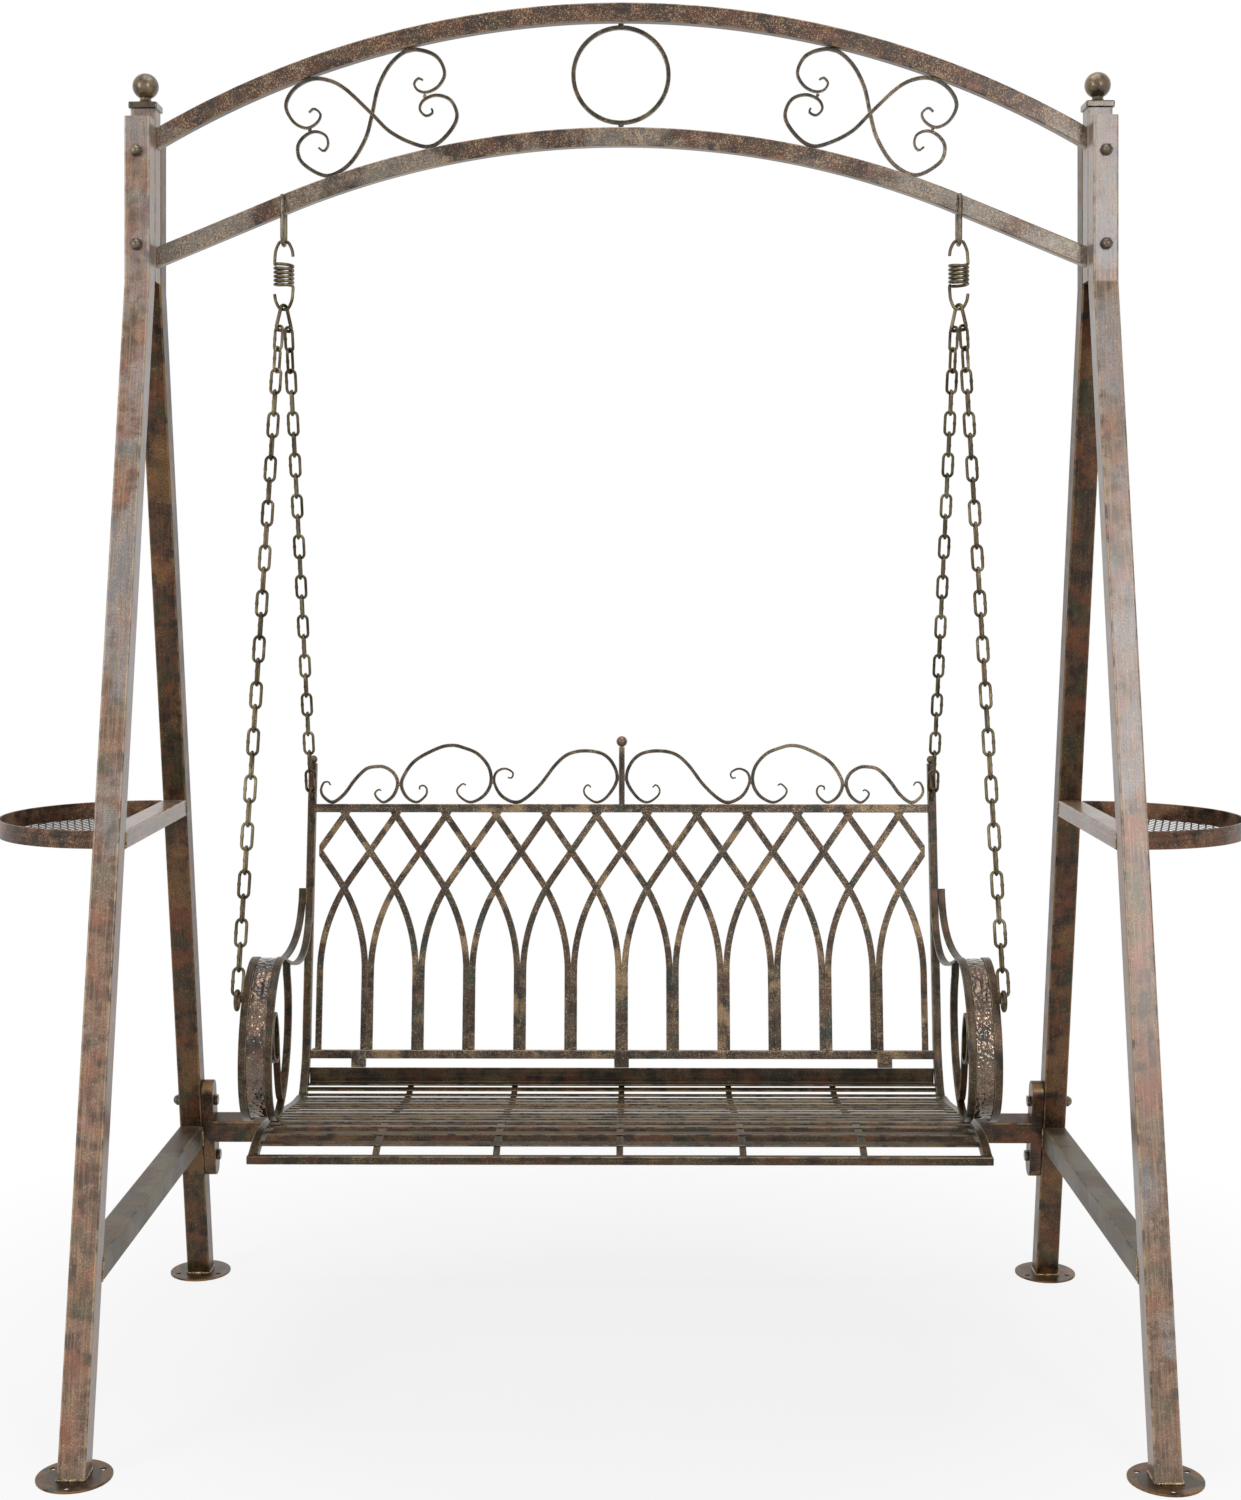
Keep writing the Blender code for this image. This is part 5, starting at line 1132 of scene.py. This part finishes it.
overlap, angleFace = slats["overlap"], slats["angleBack"] - slats["angleThick"]
ribLine = evenly(below(ribTop, slats["thick"] + slats["ribThick"] / 2 - slats["ribSunk"]), 60)
rearHeight = ribLine[-1][1]
start, end = (seat["front"] - overlap, ribLine[0][1] - overlap), (angleFace - overlap, rearHeight)
path = inYz([start, *ribLine[1:], end])
ribSection = barSection(slats["ribWide"], slats["ribThick"], slats["edge"])
shapes = [carry(path + (x, 0, 0), ribSection, seed=number) for number, x in enumerate(slats["ribs"])]
angleTop = rearHeight + slats["ribThick"] / 2 - overlap + slats["angleLeg"]
low, footEnd = angleTop - slats["angleLeg"], slats["angleBack"] - slats["angleFoot"]
corners = [
    (footEnd, low), (slats["angleBack"], low), (slats["angleBack"], angleTop),
    (angleFace, angleTop), (angleFace, low + slats["angleThick"]), (footEnd, low + slats["angleThick"]),
]
angle = outline(corners, slats["angleRounding"])
shapes.append(carry([(-seatHalf, 0, 0), (seatHalf, 0, 0)], angle, (0, 1, 0), seed=6))
makePiece("seatRibsAndAngle", shapes, "wornOliveSteel", "bench")

centre = (seat["front"] - gap - slats["frontBar"] / 2, seatTop[0][1] - slats["frontBar"] / 2)
path = acrossX(seat["halfSpan"] + seat["bar"] / 2, centre)
section = barSection(slats["frontBar"], slats["frontBar"], slats["frontEdge"], 4)
front = softBar(path, section, slats["frontSoft"], across=(0, 1, 0))
makePiece("seatFrontBar", [front], "wornOliveSteel", "bench")

upright = {"rise": 0.492, "bend": 0.055, "ball": 0.0072, "corner": 0.0018, "neckOpen": 0.5, "poleOpen": 0.08}
ballEnds = (-math.pi / 2 + upright["neckOpen"], math.pi / 2 - upright["poleOpen"])
ballLine = arc((0, 0), upright["ball"], *ballEnds, 18)
for side, where in sides:
    x = side * seat["halfSpan"]
    line = evenly(below(seatTop, seat["bar"] / 2), 14)
    bend = [backPoint(upright["bend"] * share) for share in (1, 1.5)]
    curve = smooth([*line[-3:], backPoint(0), *bend], 8)
    path = inYz([*smooth(line[:-2], 4)[:-1], *curve, backPoint(upright["rise"])], x)
    section = barSection(seat["bar"], seat["bar"], upright["corner"], 4)
    shape = carry(path, section, cuts=((0, 1, 0), None), seed=side)
    place = (x, *backPoint(upright["rise"] + upright["ball"] - overlap))
    ball = lathe(ballLine, place, (0, math.sin(back["recline"]), math.cos(back["recline"])), 24)
    eye = inYz(circle(eyes["eyeRadius"], 32, (eyeY, eyes["eyeHeight"])), x)
    eye = carry(eye, rodSection(eyes["eyeRod"] / 2, 12), closed=True)
    makePiece(where + "SeatSideFrame", [shape, ball, eye], "wornOliveSteel", "bench")
print("seat made")

# Back: rails, lattice and crest, worked out upright and then leant back

rails = {
    "bar": 0.0142, "wall": 0.0012, "corner": 0.0016, "rise": 0.4147, "tabWide": 0.025, "tabThick": 0.008,
    "tabCorner": 0.0014, "tabSoft": 0.0010, "tabSunk": 0.0008, "tabs": (-0.445, 0.0, 0.445),
}
lattice = {
    "pitch": 0.0867, "columns": 6, "bar": 0.0111, "thick": 0.0032, "straight": 0.1373, "bend": 0.2776,
    "slope": math.radians(35), "corner": 0.0008, "overlap": 0.0006,
    "footWeld": {"from": -0.010, "to": 0.001, "depth": -0.001, "up": 0.0008, "radius": 0.0017},
    "topWeld": {"half": 0.005, "down": 0.001, "radius": 0.0016},
}


def leant(points):
    points = np.asarray(points, float)
    x, y, z = points[..., 0], points[..., 1], points[..., 2]
    cos, sin = math.cos(back["recline"]), math.sin(back["recline"])
    return np.stack([x, back["footY"] + y * cos + z * sin, back["footHeight"] - y * sin + z * cos], -1)


def leantWay(vector):
    return leant(np.asarray(vector, float)) - leant(np.zeros(3))


acrossBack, upBack, alongX = leantWay((0, 1, 0)), leantWay((0, 0, 1)), np.array((1.0, 0, 0))
railSection = barSection(rails["bar"], rails["bar"], rails["corner"], 4)
for name, rise in (("backBottomRail", 0.0), ("backTopRail", rails["rise"])):
    path = leant(acrossX(seatHalf, (0, rise)))
    shapes = [carry(path, railSection, acrossBack, wall=rails["wall"], seed=rise)]
    if not rise:
        lowEnd = (angleTop + gap - back["footHeight"]) / math.cos(back["recline"])
        y, section = -rails["bar"] / 2, barSection(rails["tabWide"], rails["tabThick"], rails["tabCorner"])
        for x in rails["tabs"]:
            ends = leant([(x, y, lowEnd), (x, y, rails["bar"] / 2 - rails["tabSunk"])])
            shapes.append(softBar(ends, section, rails["tabSoft"]))
    makePiece(name, shapes, "giltOliveSteel", "bench")


# How far a bar has moved sideways at a height: nothing, then an arc, then a straight slope
def latticeLean(rise):
    height = rise - lattice["straight"]
    bent = lattice["bend"] * math.sin(lattice["slope"])
    curved = lattice["bend"] - np.sqrt(lattice["bend"] ** 2 - np.clip(height, 0, bent) ** 2)
    return curved + np.maximum(height - bent, 0) * math.tan(lattice["slope"])


def latticeHeight(lean):
    arcLean = lattice["bend"] * (1 - math.cos(lattice["slope"]))
    arcTop = lattice["straight"] + lattice["bend"] * math.sin(lattice["slope"])
    return arcTop + (lean - arcLean) / math.tan(lattice["slope"])


low, high = rails["bar"] / 2 + gap, rails["rise"] - rails["bar"] / 2 - gap
bent = lattice["straight"] + lattice["bend"] * math.sin(lattice["slope"])
wall = seatHalf - lattice["bar"] / 2 / math.cos(lattice["slope"])
layerY = (lattice["thick"] - lattice["overlap"]) / 2
beside = lattice["bar"] / 2 - lattice["overlap"] / 2
flatBar = barSection(lattice["thick"], lattice["bar"], lattice["corner"])
foot, head = lattice["footWeld"], lattice["topWeld"]
shapes, beads = [], []
for column in range(-lattice["columns"], lattice["columns"]):
    start = column * lattice["pitch"] + beside
    top = min(high, latticeHeight(wall - start))
    rise = [low, lattice["straight"] / 2, *np.linspace(lattice["straight"], min(bent, top), 16)]
    rise = np.array([*rise, top] if top > bent else rise)
    path = inSpace(start + latticeLean(rise), -layerY, rise)
    cut = upBack if top == high else alongX
    for way in (1, -1):
        line = leant(path * (way, way, 1))
        shapes.append(carry(line, flatBar, acrossBack, cuts=(upBack, cut), seed=column * 2.3 + way))
    line = leant([(start + reach, foot["depth"], low + foot["up"]) for reach in (foot["from"], foot["to"])])
    beads.append(weldBead(line, foot["radius"], seed=column))
    if top == high:
        line = np.array([(path[-1][0] + a * head["half"], -layerY, high - head["down"]) for a in (-1, 1)])
        for way in (1, -1):
            beads.append(weldBead(leant(line * (way, way, 1)), head["radius"], seed=column + way))
# the short bar between the outermost one and the side frame, in front and behind
lowEnd = latticeHeight(lattice["pitch"] - beside + wall - lattice["columns"] * lattice["pitch"])
run = (high - lowEnd) * math.tan(lattice["slope"])
stub = np.array([(wall, layerY, lowEnd), (wall - run, layerY, high)])
for way in (1, -1):
    shapes.append(carry(leant(stub * (way, way, 1)), flatBar, acrossBack, cuts=(alongX, upBack), seed=way))
makePiece("backLattice", shapes, "giltOliveSteel", "bench")
makePiece("latticeWelds", beads, "giltWeld", "bench")

# The crest's scrolls: shares of the way from the centre to the side frame and of their height
crest = {
    "high": 0.100, "bar": 0.0060, "tip": 0.42, "post": 0.010, "postRise": 0.098, "postDeep": 0.007,
    "postCorner": 0.0012, "ball": 0.0095, "poleOpen": 0.1,
    "welds": ((0.0115, 0.400), (0.4235, 0.340), (0.7285, 0.300)), "weldHalf": 0.0045, "weld": 0.0028,
    "inner": (
        (0.101, 0.255), (0.112, 0.300), (0.124, 0.220), (0.117, 0.105), (0.083, 0.000), (0.048, 0.099),
        (0.016, 0.380), (0.027, 0.643), (0.062, 0.830), (0.119, 0.886), (0.175, 0.830), (0.218, 0.643),
        (0.267, 0.305), (0.317, 0.060), (0.352, 0.000), (0.395, 0.117), (0.418, 0.342), (0.412, 0.511),
        (0.384, 0.579), (0.358, 0.511), (0.361, 0.420), (0.374, 0.425),
    ),
    "middle": (
        (0.511, 0.290), (0.522, 0.315), (0.540, 0.211), (0.529, 0.090), (0.494, 0.000), (0.451, 0.117),
        (0.429, 0.342), (0.437, 0.605), (0.473, 0.830), (0.522, 0.943), (0.561, 0.980), (0.607, 0.924),
        (0.678, 0.718), (0.715, 0.455), (0.722, 0.267), (0.703, 0.080), (0.671, 0.000), (0.643, 0.110),
        (0.639, 0.220), (0.649, 0.285), (0.663, 0.265), (0.662, 0.215),
    ),
    "outer": (
        (0.789, 0.195), (0.797, 0.215), (0.809, 0.150), (0.798, 0.050), (0.777, 0.000), (0.748, 0.117),
        (0.735, 0.324), (0.748, 0.493), (0.777, 0.598), (0.805, 0.613), (0.840, 0.568), (0.876, 0.380),
        (0.911, 0.130), (0.946, 0.000), (0.975, 0.080), (0.986, 0.200), (0.978, 0.330), (0.963, 0.345),
        (0.955, 0.290),
    ),
}
base = rails["rise"] + rails["bar"] / 2 + gap
seated = base + crest["bar"] / 2
shapes = []
for label in ("inner", "middle", "outer"):
    curve = smooth(crest[label], 10)
    for side, where in sides:
        z = seated + np.maximum(curve[:, 1], 0) * crest["high"]
        path = leant(inSpace(side * curve[:, 0] * seatHalf, 0, z))
        shapes.append(scrollBar(path, crest["bar"], crest["bar"], crest["tip"], acrossBack, side))
for share, up in crest["welds"]:
    for side, where in sides:
        x, z = side * share * seatHalf, seated + up * crest["high"]
        shapes.append(beadAlongX(leant((x, 0, z)), crest["weldHalf"], crest["weld"], x))
post = leant([(0, 0, base), (0, 0, base + crest["postRise"])])
section = barSection(crest["post"], crest["postDeep"], crest["postCorner"])
shapes.append(softBar(post, section, steps=2))
makePiece("crestScrollwork", shapes, "darkBronzeIron", "bench")
middle = leant((0, 0, base + gap + crest["postRise"] + crest["ball"]))
ballEnds = (-math.pi / 2 + crest["poleOpen"], math.pi / 2 - crest["poleOpen"])
knob = lathe(arc((0, 0), crest["ball"], *ballEnds, 22), middle, upBack, 28)
makePiece("centreFinial", [knob], "waxedBrownIron", "bench")
print("back made")

# Arms: two flat rails bent round a leaning ellipse, a curl inside, and a hammered band

halfDeep, halfHigh = arm["deep"] / 2, arm["high"] / 2
squareSum = halfDeep**2 + halfHigh**2
squareDifference = (halfHigh**2 - halfDeep**2) / math.cos(2 * arm["lean"])
armLong, armShort = math.sqrt((squareSum + squareDifference) / 2), math.sqrt((squareSum - squareDifference) / 2)
armBottomY = arm["centreY"] - squareDifference * math.sin(2 * arm["lean"]) / 2 / halfHigh
coarse = seatCurve(seat["line"], 3)
armCentre = float(np.interp(armBottomY, coarse[:, 0], coarse[:, 1])) + gap + halfHigh


# A place on the ring: the turn is 0 at its top and grows towards the front
def armEllipse(turn, inset):
    a, b = -(armShort - inset) * np.sin(turn), (armLong - inset) * np.cos(turn)
    cos, sin = math.cos(arm["lean"]), math.sin(arm["lean"])
    return np.stack([arm["centreY"] + a * cos + b * sin, armCentre - a * sin + b * cos], -1)


# The curl: it leaves the ring at three turns of it, and goes on through shares of its half sizes
curl = {
    "thick": 0.005, "narrower": 0.0012, "foot": (0.676, 0.656, 0.636), "overlap": 0.0004,
    "line": (
        (0.215, -0.815), (0.110, -0.765), (0.01, -0.64), (-0.08, -0.46), (-0.16, -0.24), (-0.21, 0.00),
        (-0.28, 0.20), (-0.42, 0.38), (-0.64, 0.34), (-0.73, 0.10), (-0.60, -0.14), (-0.34, -0.24),
        (-0.16, -0.20),
    ),
}
lugWeld = {"down": 0.001, "back": 0.003, "in": 0.001, "lifts": (-0.003, 0.001), "radius": 0.0036}
armSection = barSection(arm["wide"], arm["thick"], arm["corner"])
curlSection = barSection(arm["wide"] - curl["narrower"], curl["thick"], arm["corner"])
middle = arm["thick"] / 2
hoop = armEllipse(np.linspace(arm["firstTurn"], arm["lastTurn"], 110), middle)
leaving = armEllipse(np.linspace(arm["firstTurn"], arm["lastTurn"], 19), middle)[:2]
sag = leaving[0] + arm["tailSag"] * unit(leaving[0] - leaving[1])
rise = (arm["join"] - back["footHeight"]) / math.cos(back["recline"])
inset = arm["thick"] + curl["thick"] / 2 - curl["overlap"]
curlLine = np.concatenate([
    armEllipse(np.array(curl["foot"]) * math.tau, inset),
    np.array(curl["line"]) * (halfDeep, halfHigh) + (arm["centreY"], armCentre),
])
for side, where in sides:
    for label in ("Inner", "Outer"):
        if label == "Inner":
            forward = seat["bar"] / 2 + gap + middle / math.cos(back["recline"])
            x = (seat["halfSpan"] - (seat["bar"] - arm["wide"]) / 2, arm["innerEdge"] + arm["wide"] / 2)
        else:
            forward = 0
            x = (seat["halfSpan"] + seat["bar"] / 2 + gap + arm["wide"] / 2, arm["outerEdge"] - arm["wide"] / 2)
        drawn = [backPoint(rise, forward), backPoint(rise - arm["tailBend"], forward), sag, leaving[0]]
        share = np.linspace(0, 1, 30)
        sideways = x[0] + (x[1] - x[0]) * share * share * (3 - 2 * share)
        tail = np.column_stack([sideways, bezier(drawn, share)])[:-1]
        path = np.concatenate([tail, inYz(hoop, x[1]), inYz(bezier(drawn, [arm["close"]]), x[1])])
        seed = side + (label == "Inner")
        shapes = [softBar(path * (side, 1, 1), armSection, arm["soft"], seed=seed)]
        if label == "Inner":
            path = inYz(evenly(smooth(curlLine, 12), 80), side * x[1])
            shapes.append(softBar(path, curlSection, arm["soft"], seed=side * 3))
        else:
            lug = inYz(circle(eyes["lugRadius"], 36, (eyes["lugY"], eyes["lugHeight"])), side * lugX)
            shapes.append(carry(lug, rodSection(eyes["lugRod"] / 2, 14), closed=True))
            z, y = eyes["lugHeight"] - lugWeld["down"], eyes["lugY"] + eyes["lugRadius"] + lugWeld["back"]
            reaches = (arm["outerEdge"] - lugWeld["in"], lugX + lugWeld["in"])
            for lift in lugWeld["lifts"]:
                line = [(side * reach, y, z + lift) for reach in reaches]
                shapes.append(weldBead(line, lugWeld["radius"], seed=lift))
        makePiece(where + label + "ArmRail", shapes, "wornOliveSteel", "bench")

# Blows: their spacing, the ball's radius and depth, how far they stray and how much they vary
band = {
    "thick": 0.0016, "inset": 0.0015, "first": -0.015, "last": 0.47, "stations": 340, "columns": 30,
    "dimple": 0.0068, "hammer": 0.011, "deep": 0.0010, "stray": 0.42, "lightest": 0.6,
    "edgeWear": 0.8, "faceWear": 0.15,
}


# Hammered sheet: the depth at a point is that of the nearest hammer blow, a ball's bowl whose
# depth falls with the square of the distance from its middle, so neighbouring bowls meet in ridges
def hammered(placeAcross, placeAlong, wide, long, seed):
    dice = np.random.default_rng(seed)
    columns, rows = max(round(wide / band["dimple"]), 1), round(long / band["dimple"])
    u = (np.arange(columns) + 0.5) / columns * wide - wide / 2
    u, v = np.meshgrid(u, (np.arange(rows) + 0.5) / rows * long, indexing="ij")
    stray = dice.uniform(-band["stray"], band["stray"], (u.size, 2)) * band["dimple"]
    blows = np.stack([u.ravel(), v.ravel()], 1) + stray
    spread = (placeAcross[:, None] - blows[:, 0]) ** 2 + (placeAlong[:, None] - blows[:, 1]) ** 2
    depth = band["deep"] * dice.uniform(band["lightest"], 1.0, len(blows)) - spread / (2 * band["hammer"])
    return np.clip(depth.max(1), 0, None)


firstX, lastX = arm["innerEdge"] + arm["wide"] + gap, arm["outerEdge"] - arm["wide"] - gap
wide, columns = lastX - firstX, band["columns"]
across = np.linspace(-wide / 2, wide / 2, columns)
outerRow = np.stack([across, np.full(columns, band["thick"] / 2)], 1)
around = np.concatenate([outerRow[::-1], outerRow * (1, -1)])
out = np.repeat([(0, 1.0), (0, -1.0)], columns, axis=0)
# worn metal and painted highlight along the band's edges, and a little on its faces
wear = np.where(np.abs(around[:, 0]) > wide / 2 - 1e-6, band["edgeWear"], band["faceWear"])
section = {"points": around, "out": out, "wear": wear}
turns = np.linspace(band["first"], band["last"], band["stations"]) * math.tau
for side, where in sides:
    path = inYz(armEllipse(turns, band["inset"] + band["thick"] / 2), side * (firstX + lastX) / 2)
    shape = carry(path, section, seed=side)
    second = np.repeat(np.cross(directions(path), (1, 0, 0)), 2 * columns, axis=0)
    outward = np.sign((second * (shape["points"] - (0, arm["centreY"], armCentre))).sum(1)).mean()
    placed = shape["place"]
    depth = hammered(placed[:, 0], placed[:, 2] - side, wide, np.ptp(placed[:, 2]), 11 + side)
    shape["points"] -= outward * second * depth[:, None]
    makePiece(where + "ArmBand", [unguided(shape)], "hammeredCopperSheet", "bench")
print("arms made")

finishFor = {"bronzed": "giltOliveSteel", "dark": "darkBronzeIron", "worn": "brushedTaupeSteel"}
for name, node in frame["nodes"].items():
    for place in node.material_slots:
        place.material = finishes[finishFor[slotOf[name]]]
